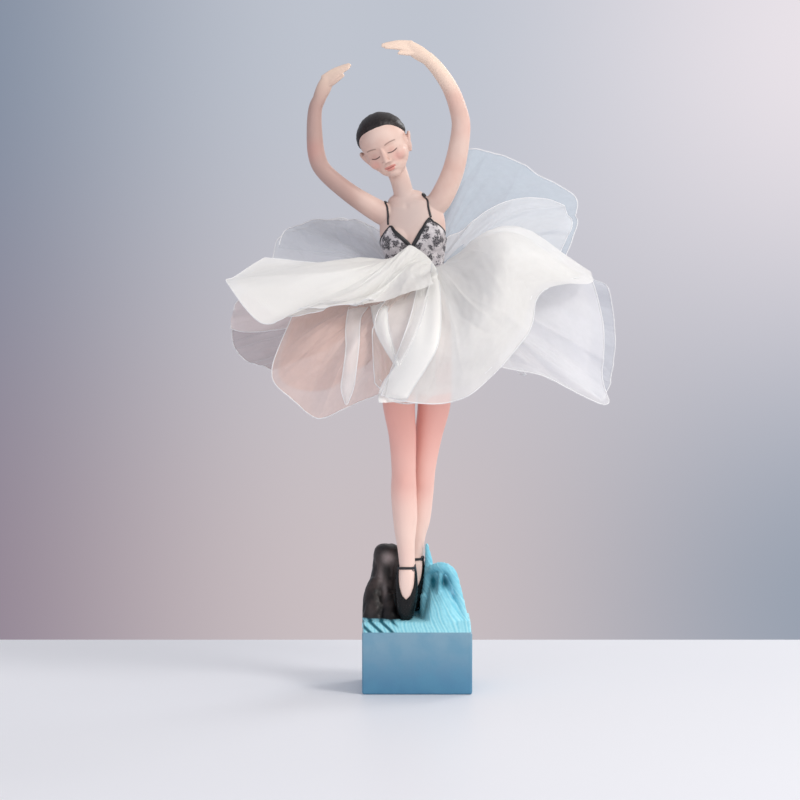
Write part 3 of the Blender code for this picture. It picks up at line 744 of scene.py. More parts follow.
bm = bmesh.new()
shaped_tube(bm, 180, 64, hair_point)
hair = piece_from(bm, "hair_cap")
shelled(hair, 0.6)
bm = bmesh.new()
shaped_tube(bm, 120, 60, bun_point)
bun = piece_from(bm, "hair_bun")
bun.data.shade_smooth()
paint = Paint("black brown hair", 0.48, Specular_IOR_Level=0.3)
strands = paint.cloud(paint.place(tuple(in_head((0, 14, -1)) * MM), HEAD_ANGLES), 1.4, 4, 0.6)
paint.colour = paint.mix(paint.ramp(strands, 0.35, 0.7), "191617", "30292A")
paint.bump(strands, 0.00012, 0.7)
hair_paint = paint.finish(paint.ramp(strands, 0.3, 0.7, 0.36, 0.55))
for thing in (hair, bun):
    thing.data.materials.append(hair_paint)
print("hair:", len(hair.data.polygons), "faces, bun:", len(bun.data.polygons))

# %% [markdown]
# ## Bodice
# A lace bodice is moulded and painted on the body. Here it is a thin skin cast on the
# torso from its middle line outwards, with two pointed cups, black bands along the
# neckline and thin straps over the shoulders.

# %% Bodice
# The height of the bodice's top edge, by the azimuth round the body
BODICE_TOP = (
    (0, 204.5), (18, 199), (50, 196), (90, 195), (130, 195.5), (165, 199), (186, 204),
    (203, 207.6), (214, 210.6), (222, 209.4), (263, 200.8), (308, 212.2), (317, 214.2),
    (330, 209.8), (345, 206), (360, 204.5),
)
BODICE_FOOT = 178.0
BODICE_LIFT = 0.42


def on_torso(azimuth, height, lift):
    """A place on the torso's skin, for an azimuth in degrees and a height in mm."""
    for low, high in zip(TORSO_MIDDLES, TORSO_MIDDLES[1:]):
        if low.z <= height <= high.z:
            start = low.lerp(high, (height - low.z) / (high.z - low.z))
    start.z = height
    aim = Vector((math.cos(math.radians(azimuth)), math.sin(math.radians(azimuth)), 0))
    hit, normal, _, _ = skin.ray_cast(start * MM, aim, 0.04)
    return hit + (normal if normal.dot(aim) >= 0 else -normal) * lift * MM


def bodice_point(u, v):
    height = BODICE_FOOT + (table_value(BODICE_TOP, 360 * u) - BODICE_FOOT) * v
    tucked = 0.4 * ease(0.97, 1.0, v) + 0.4 * ease(0.03, 0.0, v)
    return on_torso(360 * u, height, BODICE_LIFT - tucked)


bm = bmesh.new()
shaped_tube(bm, 200, 36, bodice_point)
bodice = piece_from(bm, "bodice")
shelled(bodice, 0.3)

paint = Paint("painted lace", 0.55)
lace_place = paint.place()
wander = paint.node("TexNoise", Vector=lace_place, Scale=0.45, Detail=3.0).outputs["Color"]
warped = paint.mix(0.9, lace_place, wander, "ADD")


def cells(feature, scale, randomness=1.0):
    facts = {"Scale": scale, "Randomness": randomness}
    made = paint.node("TexVoronoi", {"feature": feature}, Vector=warped, **facts)
    return made.outputs["Distance"]


flowers, petals = cells("F1", 0.27, 0.8), cells("F1", 1.05)
veins = cells("DISTANCE_TO_EDGE", 1.25)
blossom = paint.ramp(paint.sum("MULTIPLY_ADD", petals, 0.5, flowers), 0.62, 0.82, 1.0, 0.0)
blossom = paint.times(blossom, paint.ramp(veins, 0.02, 0.12, 0.45, 1.0))
mottle = paint.ramp(paint.cloud(lace_place, 0.25), 0.35, 0.65)
paint.colour = paint.mix(mottle, "DAD5D6", "BDB7BA")
paint.coat(paint.ramp(veins, 0.0, 0.07, 0.4, 0.0), "8A868C")
paint.coat(blossom, "2E2C33")
paint.bump(blossom, 0.00012, 0.8)
bodice.data.materials.append(paint.finish())
print("bodice:", len(bodice.data.polygons), "faces")


# %% Bands and straps
def snapped(place, lift):
    """The nearest place on the skin, lifted a little, and which way is out there."""
    hit, normal, _, _ = skin.find_nearest(place * MM)
    return hit + normal * lift * MM, normal


def ribbon(bm, path, widths, thick, lift, steps=8, sides=12):
    """A flat band that follows the skin along a path in mm."""
    knots = [Vector(place) for place in path]
    rows = (len(path) - 1) * steps
    rings = []
    for k in range(rows + 1):
        at = k / rows
        middle, out = snapped(between(knots, at), lift)
        ahead, behind = (snapped(between(knots, at + step), lift)[0] for step in (0.02, -0.02))
        along = (ahead - behind).normalized()
        wide = out.cross(along).normalized()
        end = 0.0 if k in (0, rows) else 1.0
        half_width = wide * between(widths, at) * MM * 0.5 * end
        rings.append((middle, half_width, out * thick * MM * 0.5 * end))

    def place(u, v):
        middle, wide, out = rings[round(v * rows)]
        angle = math.tau * u
        return middle + wide * math.cos(angle) + out * math.sin(angle)

    shaped_tube(bm, sides, rows, place)


def edge_path(first, last, count, drop):
    """Places along the bodice's top edge between two azimuths."""
    path = []
    for k in range(count + 1):
        azimuth = (first + (last - first) * k / count) % 360
        path.append(on_torso(azimuth, table_value(BODICE_TOP, azimuth) - drop, 0.3) / MM)
    return path


# Along the top edge: first and last azimuth, stations and drop; widths, thickness and lift
TOP_BANDS = (
    ((214, 262, 9, 0.5), (1.0, 1.5, 1.9, 1.9, 1.6), 0.7, 0.4),
    ((317, 261, 11, 0.5), (1.0, 1.4, 1.8, 1.8, 1.6), 0.7, 0.45),
    ((214, 90, 16, 0.2), (0.8, 0.6, 0.7), 0.5, 0.4),
    ((317, 450, 18, 0.2), (0.8, 0.6, 0.7), 0.5, 0.4),
)
# Each strap's path: (x, z) in front, then places over the shoulder and down the back
STRAPS = (
    (
        ((-12.9, 210.6), (-13.0, 213.0), (-13.2, 216.0), (-13.5, 218.4)),
        (
            (-14.4, -1.0, 221.5), (-13.4, 6, 219), (-12, 9, 212), (-10.4, 9.5, 204),
            (-9, 9.6, 196),
        ),
    ),
    (
        ((6.2, 213.9), (5.6, 216.2), (5.0, 219.0), (4.6, 221.8)),
        ((3.9, -1.6, 225.8), (4.4, 5, 223), (4.8, 8.5, 216), (5.0, 9.3, 206), (5.0, 9.6, 196)),
    ),
)

bm = bmesh.new()
for edge, widths, thick, lift in TOP_BANDS:
    ribbon(bm, edge_path(*edge), widths, thick, lift)
for front_path, back_path in STRAPS:
    path = []
    for x, z in front_path:
        path.append(skin.ray_cast(Vector((x, -60, z)) * MM, Vector((0, 1, 0)))[0] / MM)
    for place in back_path:
        path.append(snapped(Vector(place), 0.0)[0] / MM)
    ribbon(bm, path, (1.05, 0.85, 0.85, 0.85), 0.6, 0.3)
ball(bm, Vector(snapped(Vector((3.9, -2.2, 225.4)), 0.4)[0] / MM), (0.9, 0.8, 0.8))
bands = piece_from(bm, "black_bands_and_straps")
bands.data.shade_smooth()
paint = Paint("black ribbon", 0.38)
fine = paint.cloud(paint.place(), 1.2, 3)
paint.bump(fine, 0.0001, 0.6)
paint.colour = paint.mix(fine, "101013", "26262B")
black_ribbon = paint.finish()
bands.data.materials.append(black_ribbon)
print("bands and straps:", len(bands.data.polygons), "faces")

# %% [markdown]
# ## Shoes
# Black pumps with a flat toe, an open instep and a strap round each ankle, painted in
# gloss. Each is a shell over the foot, cut low in front.

# %% Shoes
# How far down the opening reaches, by the angle from the front
INSTEP = ((0, 1.0), (24, 0.88), (44, 0.62), (55, 0.32), (66, 0.0), (270, 0.0))
OPENING = 0.55
SHOE_LIFT = 0.15
TOE_SHARE = 0.12


def shoe_point(stations):
    middles = [raised(row[0]) for row in reversed(stations)]
    widths, depths = ([row[k] for row in reversed(stations)] for k in (1, 2))

    def place(u, v):
        angle = math.tau * u
        from_front = min(abs(math.degrees(angle) - 270), 180)
        top = 1.0 - OPENING * table_value(INSTEP, from_front)
        at = max(v - TOE_SHARE, 0) / (1 - TOE_SHARE) * top
        size = math.sin(min(v / TOE_SHARE, 1.0) * math.pi / 2) ** 0.6
        wide = (between(widths, at) + SHOE_LIFT) * size * math.cos(angle)
        deep = (between(depths, at) + SHOE_LIFT) * size * math.sin(angle)
        drop = -0.9 * (1 - size) if v < TOE_SHARE else 0.0
        return (between(middles, at) + Vector((wide, deep, drop))) * MM

    return place


def ankle_strap(bm, middle, tilt, size=3.95, wide=1.2, thick=0.5):
    """A closed flat band round an ankle."""
    turn = Matrix.Rotation(math.radians(tilt), 3, "X")

    def place(u, v):
        round_leg, section = math.tau * u, math.tau * v
        out = Vector((math.cos(round_leg), math.sin(round_leg), 0))
        out *= size + 0.25 + 0.5 * thick * math.cos(section)
        return (raised(middle) + turn @ (out + Vector((0, 0, 0.5 * wide * math.sin(section))))) * MM

    shaped_tube(bm, 72, 12, place)


def buckle(bm, middle, out, half_width=0.8, half_height=0.9, wire=0.22):
    """A small square wire frame with rounded corners."""
    out, up = Vector(out).normalized(), Vector((0, 0, 1))
    side = out.cross(up).normalized()

    def place(u, v):
        angle, section = math.tau * u, math.tau * v
        edge = max(abs(math.cos(angle)), abs(math.sin(angle))) ** -0.75
        plane = side * half_width * edge * math.cos(angle)
        plane += up * half_height * edge * math.sin(angle)
        section_way = plane.normalized() * math.cos(section) + out * math.sin(section)
        return (raised(middle) + plane + section_way * wire) * MM

    shaped_tube(bm, 40, 10, place)


bm = bmesh.new()
shaped_tube(bm, 96, 60, shoe_point(SHOE_IN_FRONT))
shaped_tube(bm, 96, 60, shoe_point(SHOE_BEHIND))
shoes = piece_from(bm, "shoes")
shelled(shoes, 0.35)
bm = bmesh.new()
ankle_strap(bm, (-4.7, -7.0, 23.2), -6)
ankle_strap(bm, (-0.9, 6.8, 26.6), 6)
straps = piece_from(bm, "ankle_straps")
straps.data.shade_smooth()
bm = bmesh.new()
buckle(bm, (-1.4, -9.6, 23.2), (0.72, -0.7, 0))
buckle(bm, (2.6, 4.4, 26.6), (0.82, -0.57, 0))
buckles = piece_from(bm, "strap_buckles")
buckles.data.shade_smooth()
paint = Paint("gloss black", 0.3, Specular_IOR_Level=0.3)
wear = paint.cloud(paint.place(), 0.5, 4)
paint.bump(wear, 0.00008, 0.4)
paint.colour = paint.mix(wear, "050506", "0E0E10")
shoes.data.materials.append(paint.finish(paint.ramp(wear, 0.3, 0.7, 0.24, 0.36)))
straps.data.materials.append(black_ribbon)
paint = Paint("dark buckle metal", 0.3, Metallic=1.0)
paint.colour = paint.mix(paint.cloud(paint.place(), 1.5, 3), "3A3A40", "77777F")
buckles.data.materials.append(paint.finish())
print("shoes:", len(shoes.data.polygons), "faces")

# %% [markdown]
# ## Block, rock and wave
# The base is a second casting. Its lower half is a plain block; above it a dark rock and
# a breaking wave rise behind the feet. The carving is fused like the dancer, then cut
# with flowing grooves, and each corner is given its paint: charcoal rock with a painted
# highlight on top, pale cyan water with painted highlight on its ridges, and teal as
# painted shade in its grooves and hollows.

# %% Carving
BLOCK = (49.5, 46.0, 28.0)
BLOCK_TOP = BLOCK[2]
MOUND_RISE = 4.0
CARVING_VOXEL = 0.45
CARVING_TRIANGLES = 110000
ROCK_REACH = 1.6
ROCK_FADE = 0.8
# The wave's height along its length, seen from the front: (x, height)
BANK_OUTLINE = (
    (3.0, 6.0), (6.0, 20.0), (11.5, 25.0), (15.5, 23.0), (18.2, 17.0), (21.0, 10.5),
    (23.6, 3.0),
)
# The rock and the crest are fused from tongues, each a row of places and half widths
BOULDER_TONGUES = (
    (
        ((-15.5, 6.0, 0.0), 9.6), ((-15.2, 6.0, 12.0), 8.4), ((-13.8, 6.6, 22.0), 7.2),
        ((-13.2, 6.8, 33.6), 6.4),
    ),
    (
        ((-19.0, -3.0, 0.0), 6.0), ((-19.3, -1.0, 9.0), 5.6), ((-19.4, 1.0, 14.0), 5.0),
        ((-17.6, 3.0, 19.5), 4.2),
    ),
    (((-13.0, 14.0, 0.0), 8.6), ((-12.4, 13.0, 12.0), 7.4), ((-11.6, 11.0, 21.0), 5.4)),
    (((-10.0, -9.0, -1.0), 5.4), ((-12.0, -5.0, 5.0), 4.6), ((-12.4, -1.0, 14.0), 2.6)),
)
CREST_TONGUES = (
    (((5.8, 6.0, 14.0), 4.2), ((5.6, 5.0, 27.0), 2.2), ((4.5, 4.2, 37.0), 0.8)),
    (
        ((5.0, 4.0, 24.0), 1.6), ((7.6, 1.5, 26.4), 1.8), ((11.6, -0.5, 27.2), 2.2),
        ((15.6, -1.4, 24.6), 2.4), ((18.0, -3.0, 18.6), 2.0), ((19.8, -5.0, 12.0), 1.8),
        ((21.4, -8.0, 6.0), 1.6), ((22.4, -11.0, 1.0), 1.4),
    ),
    (((11.2, 0.5, 26.0), 1.5), ((10.8, -2.0, 20.0), 1.3), ((10.0, -4.5, 13.0), 1.2)),
    (((8.9, 3.5, 25.0), 2.0), ((8.8, 3.0, 21.0), 2.4)),
    (((3.6, 3.5, 13.5), 2.2), ((3.8, 3.0, 9.0), 2.4), ((4.6, 2.0, 1.0), 2.6)),
    (((0.0, 17.5, 1.0), 5.0), ((-1.0, 17.0, 12.0), 4.2), ((-3.0, 15.5, 21.0), 2.4)),
)


def bank_height(x, y):
    """How high the wave's bank stands over the block at (x, y), in mm."""
    half = BLOCK[1] / 2
    rise = MOUND_RISE * ease(-half, 9 - half, y) * ease(half, half - 6, y)
    outline = BANK_OUTLINE[0][1] * ease(1.0, 3.0, x)
    if x >= BANK_OUTLINE[0][0]:
        outline = table_value(BANK_OUTLINE, x)
    slope = 0.72 * ease(-half, 0, y) + 0.28 * ease(-4, 5, y)
    return max(rise, outline * slope * ease(half + 6, 9, y))


def bank_point(u, v):
    x, y = (2 * u - 1) * (BLOCK[0] / 2 - 0.5), (2 * v - 1) * (BLOCK[1] / 2 - 0.5)
    return Vector((x, y, BLOCK_TOP - 0.1 + bank_height(x, y))) * MM


bm = bmesh.new()
shaped_grid(bm, 90, 90, bank_point)
foot = bmesh.ops.extrude_face_region(bm, geom=bm.faces[:])["geom"]
for corner in foot:
    if isinstance(corner, bmesh.types.BMVert):
        corner.co.z = (BLOCK_TOP - 5) * MM
for tongue in BOULDER_TONGUES + CREST_TONGUES:
    limb(bm, tongue, level=BLOCK_TOP, steps=8, sides=28)
carving = piece_from(bm, "rock_and_wave")
fused(carving, CARVING_VOXEL, 3)
places, normals = corners_of(carving)
x, y, z = places.T
z = z - BLOCK_TOP
print("carving corners:", len(places))

rock = np.zeros(len(places))
for tongue in BOULDER_TONGUES:
    for (one, size_one), (two, size_two) in zip(tongue, tongue[1:]):
        one, two = (np.array(place) + np.array((0, 0, BLOCK_TOP)) for place in (one, two))
        way = two - one
        share = np.clip(((places - one) @ way) / (way @ way), 0, 1)
        away = np.linalg.norm(places - one - share[:, None] * way, axis=1)
        reach = size_one + (size_two - size_one) * share
        rock = np.maximum(rock, np.clip((reach + ROCK_REACH - away) / ROCK_FADE, 0, 1))
rough = np.array([noise.fractal(Vector(place) * 0.13, 1.0, 2.0, 4) for place in places])
flow = np.array([noise.noise(Vector(place) * 0.09) for place in places])
grooves = x + 0.8 * z - 0.25 * y + flow * 1.2
wave_cut = -0.12 * np.abs(np.sin(grooves * 1.35)) ** 0.7 + 0.07 * np.sin(grooves * 4.1 + rough * 2)
above = np.clip((z - 0.6) / 3.0, 0, 1)
rock_cut = 0.30 * rough + 0.12 * np.sin(x * 1.1 + rough * 4)
rock *= np.clip((z - 3.6) / 1.0, 0, 1)
lift = above * (rock * rock_cut + (1 - rock) * wave_cut)
move_corners(carving, places + normals * lift[:, None])
height = np.clip(z / 26, 0, 1)


# %% Carving colours
def blended(first, second, share):
    """One colour, or a colour for each corner, with a second one laid over it."""
    share = np.clip(share, 0, 1)[:, None]
    first = linear(first) if isinstance(first, str) else first
    return np.array(first) * (1 - share) + np.array(linear(second)) * share


def dabbed(colours, code, at, size, share):
    return blended(colours, code, swell(places, raised(at, BLOCK_TOP), size, share))


water = blended("A6E6F2", "84CFE6", height * 1.15)
# Painted shade in the grooves, and painted highlight on the ridges between them
water = blended(water, "7CCBE0", np.clip(-wave_cut - 0.02, 0, 1) * 6.0)
water = blended(water, "CDF6FA", np.clip(wave_cut, 0, 1) * 5.0)
strokes = np.clip(0.75 - np.abs(np.sin((x + 1.3 * places[:, 2]) * 0.62)), 0, 1) * 3.0
strokes *= np.clip((-8 - x) / 4, 0, 1) * np.clip((7 - z) / 2, 0, 1)
water = blended(water, "1F5C6C", strokes)
# Painted shade: dark teal in the two hollows under the crest
water = dabbed(water, "1F6C7E", (12.6, -1.8, 20.5), (2.3, 5, 3.2), 1.3)
water = dabbed(water, "1F6C7E", (7.4, 0.5, 20.0), (1.8, 5, 4.0), 1.3)
stone = blended("100E0F", "3C3230", rough * 1.3 + 0.2 + 0.4 * height)
# A painted highlight on the rock's top, then two paler grey-pink streaks lower on its side
stone = dabbed(stone, "B8A8A6", (-13.0, -2, 31), (2.6, 8, 2.6), 0.7)
stone = dabbed(stone, "B8A8A6", (-16.6, -3, 22), (1.2, 8, 4), 0.3)
stone = dabbed(stone, "B8A8A6", (-14.6, -3, 17), (1.2, 8, 4), 0.3)
stone = blended(stone, "0B0D0F", 1.2 - height * 2.6)
colours = stone * rock[:, None] + water * (1 - rock)[:, None]
stored = carving.data.attributes.new("paint", "FLOAT_COLOR", "POINT")
stored.data.foreach_set("color", np.c_[colours, np.ones(len(colours))].ravel())
stored = carving.data.attributes.new("rock", "FLOAT", "POINT")
stored.data.foreach_set("value", rock)
thinned(carving, CARVING_TRIANGLES)
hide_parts("base")
paint = Paint("painted carving", 0.4, Specular_IOR_Level=0.3)
base_colour = paint.node("Attribute", {"attribute_name": "paint"}).outputs["Color"]
rocky = paint.node("Attribute", {"attribute_name": "rock"}).outputs["Fac"]
fine = paint.cloud(paint.place(), 0.6, 4)
pale_share = paint.ramp(fine, 0.25, 0.75, 0.0, 0.35)
paint.colour = paint.mix(pale_share, base_colour, "E8F2F4", "SOFT_LIGHT")
paint.bump(fine, 0.00008, 0.5)
carving.data.materials.append(paint.finish(paint.ramp(rocky, 0.0, 1.0, 0.45, 0.4)))
print("carving triangles:", triangles_in(carving))

# %% Block
EDGE_ROUND = 1.0

bm = bmesh.new()
shape = Matrix.Diagonal((*(Vector(BLOCK) * MM), 1.0))
shape = Matrix.Translation((0, 0, BLOCK[2] / 2 * MM)) @ shape
bmesh.ops.create_cube(bm, size=1.0, matrix=shape)
rounding = {"offset": EDGE_ROUND * MM, "segments": 4, "profile": 0.5, "affect": "EDGES"}
bmesh.ops.bevel(bm, geom=bm.edges[:], material=-1, **rounding)
block = piece_from(bm, "block")
block.data.shade_smooth()
paint = Paint("painted block", 0.36)
on_block = paint.place()
rise = paint.ramp(paint.parts(on_block)[2], 0.0, BLOCK_TOP)
paint.colour = paint.mix(rise, "4A82A4", "7CA1B6")
paint.coat(paint.ramp(paint.cloud(on_block, 0.12, 3), 0.35, 0.7, 0.0, 0.45), "5591AE")
paint.bump(paint.cloud(on_block, 0.8, 4), 0.00012, 0.5)
block.data.materials.append(paint.finish())
print("block in mm:", BLOCK)

# %% [markdown]
# ## The tutu
# Each lobe is a loose piece of white organza, gathered on a short stretch of the waist.
# A sheet is a grid between three curves: its root round the waist, a curve half way out
# and its rim. Pleats start fine at the waist and open into broad folds at the rim.

# %% Lobes
# A lobe's root is its first and last azimuth, its rise at each and how far out it is sewn.
# Then come its spokes: azimuth, distance out and rise, half way out and at the rim
LOBES = {
    "tutu_front_left": (
        (205, 284, 7.0, 13.0, 5.0),
        ((190, 32, 6), (183, 69, 10)), ((207, 37, 10), (194, 85, 2)),
        ((223, 46, 5), (202, 90, -2)), ((229, 48, -3), (213, 81, -19)),
        ((235, 44, -5), (221, 66, -13.5)), ((242, 38, -5), (228, 56, -11)),
        ((250, 29, 3), (249, 42, -9.5)), ((266, 27, 5), (266, 40, -6)),
        ((284, 26, 3), (281, 37, -2)),
    ),
    "tutu_far_left": (
        (160, 202, -2.0, -2.0, 2.2),
        ((164, 38, -4), (166, 72, -4)), ((174, 40, -8), (177, 81, -10)),
        ((182, 44, -15), (183, 84, -25)), ((190, 43, -22), (187, 80, -34)),
        ((196, 37, -27), (194, 67, -41)),
    ),
    "tutu_left_puff": (
        (212, 254, -3.5, -3.5, 3.0),
        ((212, 38, -6), (205, 60, -13)), ((219, 49, -20), (206, 72, -40)),
        ((227, 52, -27), (213, 67, -52)), ((235, 51, -31), (219, 57, -61)),
        ((242, 44, -31), (231, 49, -56)), ((250, 34, -28), (243, 40, -51)),
        ((258, 27, -24), (256, 32, -46)),
    ),
    "tutu_centre": (
        (254, 276, 0.0, 0.0, 4.0),
        ((244, 42, -16), (246, 46, -45)), ((252, 45, -22), (254, 46, -52)),
        ((261, 46, -24), (263, 45, -54)), ((270, 44, -24), (272, 44, -53)),
        ((279, 40, -22), (281, 40, -50)),
    ),
    "tutu_right_puff": (
        (276, 352, 3.0, 9.0, 3.4),
        ((265, 51, -20), (253, 55, -50)), ((274, 55, -24), (268, 56, -53)),
        ((284, 58, -23), (286, 55, -53)), ((294, 59, -18), (303, 58, -43)),
        ((304, 57, -8), (320, 63, -22)), ((315, 50, 8), (332, 63, -5)),
        ((336, 42, 20.5), (353, 79, -1)), ((356, 42, 25.0), (1, 78, 2.5)),
    ),
    "tutu_right_flap": (
        (325, 358, -4.0, -2.0, 3.0),
        ((322, 38, -24), (325, 47, -38)), ((331, 42, -25), (342, 60, -44)),
        ((338, 44, -22), (354, 86, -56)), ((346, 44, -15), (357, 84, -42)),
        ((354, 43, -6), (359, 84, -18)), ((1, 39, 4), (3, 79, 1)), ((8, 36, 9), (8, 69, 10.5)),
        ((14, 32, 10), (13, 60, 15)),
    ),
    "tutu_right_tail": (
        (6, 30, -4.0, -4.0, 2.6),
        ((13, 46, -28), (9, 86, -56)), ((17, 48, -20), (13, 92, -46)),
        ((22, 50, -8), (15, 95, -24)), ((27, 48, 3), (16, 92, -5)),
        ((33, 44, 10), (20, 83, 4)),
    ),
    "tutu_back_right": (
        (15, 80, 7.0, 7.0, 3.0),
        ((17, 38, 8), (20, 70, 4)), ((20, 43, 16), (24, 78, 16)), ((23, 49, 24), (28, 86, 30)),
        ((28, 47, 31), (30, 86, 40)), ((34, 42, 35), (34, 70, 49)),
        ((41, 34, 37), (42, 52, 58)), ((50, 28, 34), (56, 40, 58)),
        ((66, 30, 22), (72, 52, 38)), ((80, 34, 14), (84, 58, 22)),
    ),
    "tutu_back_left": (
        (96, 172, 5.0, 5.0, 3.0),
        ((98, 36, 6), (92, 62, 6)), ((112, 33, 12), (108, 52, 14)),
        ((123, 30, 17), (121, 44, 24)), ((134, 30, 19), (131, 44, 28)),
        ((144, 33, 19), (141, 48, 28)), ((152, 37, 18), (151, 55, 25)),
        ((160, 41, 15), (161, 60, 22)), ((168, 43, 11), (169, 65, 18)),
        ((176, 42, 6), (177, 66, 8)),
    ),
    "tutu_back": (
        (36, 154, -3.0, -3.0, 2.6),
        ((30, 42, -20), (30, 60, -44)), ((52, 42, -14), (50, 64, -36)),
        ((78, 42, -10), (76, 66, -30)), ((104, 42, -12), (106, 64, -34)),
        ((130, 42, -16), (132, 62, -40)), ((152, 40, -22), (158, 58, -46)),
    ),
}

# Each lobe's finish: how dense one ply is, how many plies, gathers, folds and creases in mm,
# seed, tint. The cloth is white, and the tints are painted light and shade: grey-mauve on
# the far left, warm on the left and centre, cool blue-grey at the back and tail
FINISH = {
    "tutu_front_left": (0.72, 2, 0.25, 1.0, 0.7, 1, "FFFEFA"),
    "tutu_far_left": (0.52, 2, 0.30, 1.5, 0.9, 2, "B3A2A3"),
    "tutu_left_puff": (0.50, 2, 0.35, 1.6, 1.1, 3, "F2D2C6"),
    "tutu_centre": (0.50, 2, 0.35, 1.2, 0.8, 4, "F6E6DE"),
    "tutu_right_puff": (0.60, 2, 0.25, 1.1, 0.8, 5, "F7F6F3"),
    "tutu_right_flap": (0.48, 2, 0.30, 1.6, 1.1, 6, "F8F8FB"),
    "tutu_right_tail": (0.42, 1, 0.30, 1.4, 0.9, 7, "DDE3EC"),
    "tutu_back_right": (0.42, 2, 0.35, 1.5, 1.6, 8, "C9DAE6"),
    "tutu_back_left": (0.50, 2, 0.35, 1.2, 0.8, 9, "E2E5EB"),
    "tutu_back": (0.42, 2, 0.35, 2.2, 1.2, 10, "F6F8F9"),
}
# How far out the inner ply reaches, from a lobe's first spoke to its last
INNER_REACH = {
    "tutu_back_right": (0.95, 0.94, 0.92, 0.80, 0.30, 0.20, 0.15, 0.15, 0.15),
    "tutu_far_left": (0.97, 0.98, 0.97, 0.15, 0.1),
    "tutu_left_puff": (0.97, 0.97, 0.93, 0.80, 0.66, 0.55, 0.50),
    "tutu_front_left": (0.95, 0.95, 0.95, 0.88, 0.78, 0.72, 0.6, 0.5, 0.5),
    "tutu_right_flap": (0.86, 0.88, 0.92, 0.94, 0.94, 0.94, 0.94),
    "tutu_back_left": (0.3, 0.3, 0.4, 0.55, 0.7, 0.84, 0.92, 0.95, 0.95),
}
# A second finish: the inner plies of the back and far left lobes, and the bands in front;
# the grey of the back left inner ply is painted shade
INNER_FINISH = {
    "tutu_back_right": (0.5, "F2F4F7"),
    "tutu_back_left": (0.5, "BFC3CB"),
    "tutu_far_left": (0.55, "FBEEEE"),
    "tutu_centre": (0.82, "FFFEFA"),
}
# Which way the inner ply lies off the outer one, in ply gaps
INNER_SIDE = {"tutu_back_right": -1.0, "tutu_back_left": -2.3, "tutu_far_left": -1.0}
# The share of a lobe's rim that shows a rolled hem; the rest is turned under
HEMMED = {"tutu_front_left": (0.0, 0.70), "tutu_right_puff": (0.0, 0.73)}
PLY_GAP = 2.4
INNER_PLY = (0.94, 0.94)
WAIST_HALF_WIDTH = 10.6
WAIST_HALF_DEPTH = 8.4

# Where the front lobe crosses the bodice it rises to a soft peak: azimuth, rise and distance out
FRONT_ROOT = (
    (205, 7, 5), (224, 9, 5.5), (244, 11.5, 6), (258, 15.5, 6.8), (275, 13, 6.4),
    (290, 9.5, 5.6), (303, 5.5, 4.8),
)


def polar(azimuth, reach_x, reach_y, rise):
    angle = math.radians(azimuth)
    return Vector((math.cos(angle) * reach_x, math.sin(angle) * reach_y, WAIST_LEVEL + rise))


def root_knots(name):
    """Where a lobe is gathered round the waist, as places in mm."""
    first, last, first_rise, last_rise, out = LOBES[name][0]
    places = [
        (first + (last - first) * s, first_rise + (last_rise - first_rise) * s, out)
        for s in [k / 6 for k in range(7)]
    ]
    if name == "tutu_front_left":
        places = FRONT_ROOT
    wide, deep = WAIST_HALF_WIDTH, WAIST_HALF_DEPTH
    return [polar(azimuth, wide + out, deep + out, rise) for azimuth, rise, out in places]


# %% Folds and creases
PLEAT_WIDTH = 3.2
CREASES = 34
# Folds, ripples and fine wrinkles: share, waves along and across, where they begin and are full
WRINKLES = ((1.0, 0.5, 1.8, 0.0, 0.55), (0.45, 0.9, 5.0, 0.05, 0.45), (0.10, 5.0, 12.0, 0.05, 0.3))


def wander(u, v, draw, along, across, waves=12):
    """A smooth random swell over a sheet, made of a few long waves."""
    total = np.zeros_like(u)
    for _ in range(waves):
        phase = draw.normal(0, along) * u + draw.normal(0, across) * v + draw.uniform(0, 1)
        total += np.sin(math.tau * phase)
    return total / math.sqrt(waves)


def creases(u, v, width, length, draw):
    """Sharp, short-lived creases that run mostly outwards from the waist."""
    total = np.zeros_like(u)
    for _ in range(CREASES):
        lean = draw.normal(0, 0.35)
        bend = draw.normal(0, 0.007)
        over = (v - draw.uniform(0, 1)) * width
        out = (u - draw.uniform(0.15, 0.95)) * length
        far = over * math.sin(lean) + out * math.cos(lean)
        off = over * math.cos(lean) - out * math.sin(lean) + bend * far ** 2
        shape = np.exp(-np.abs(off) / draw.uniform(1.0, 3.0))
        shape = shape * np.exp(-(far / draw.uniform(12, 34)) ** 2)
        total += draw.uniform(-1, 1) * shape
    return total


def run_length(path):
    return np.linalg.norm(np.diff(path, axis=0), axis=1).sum()


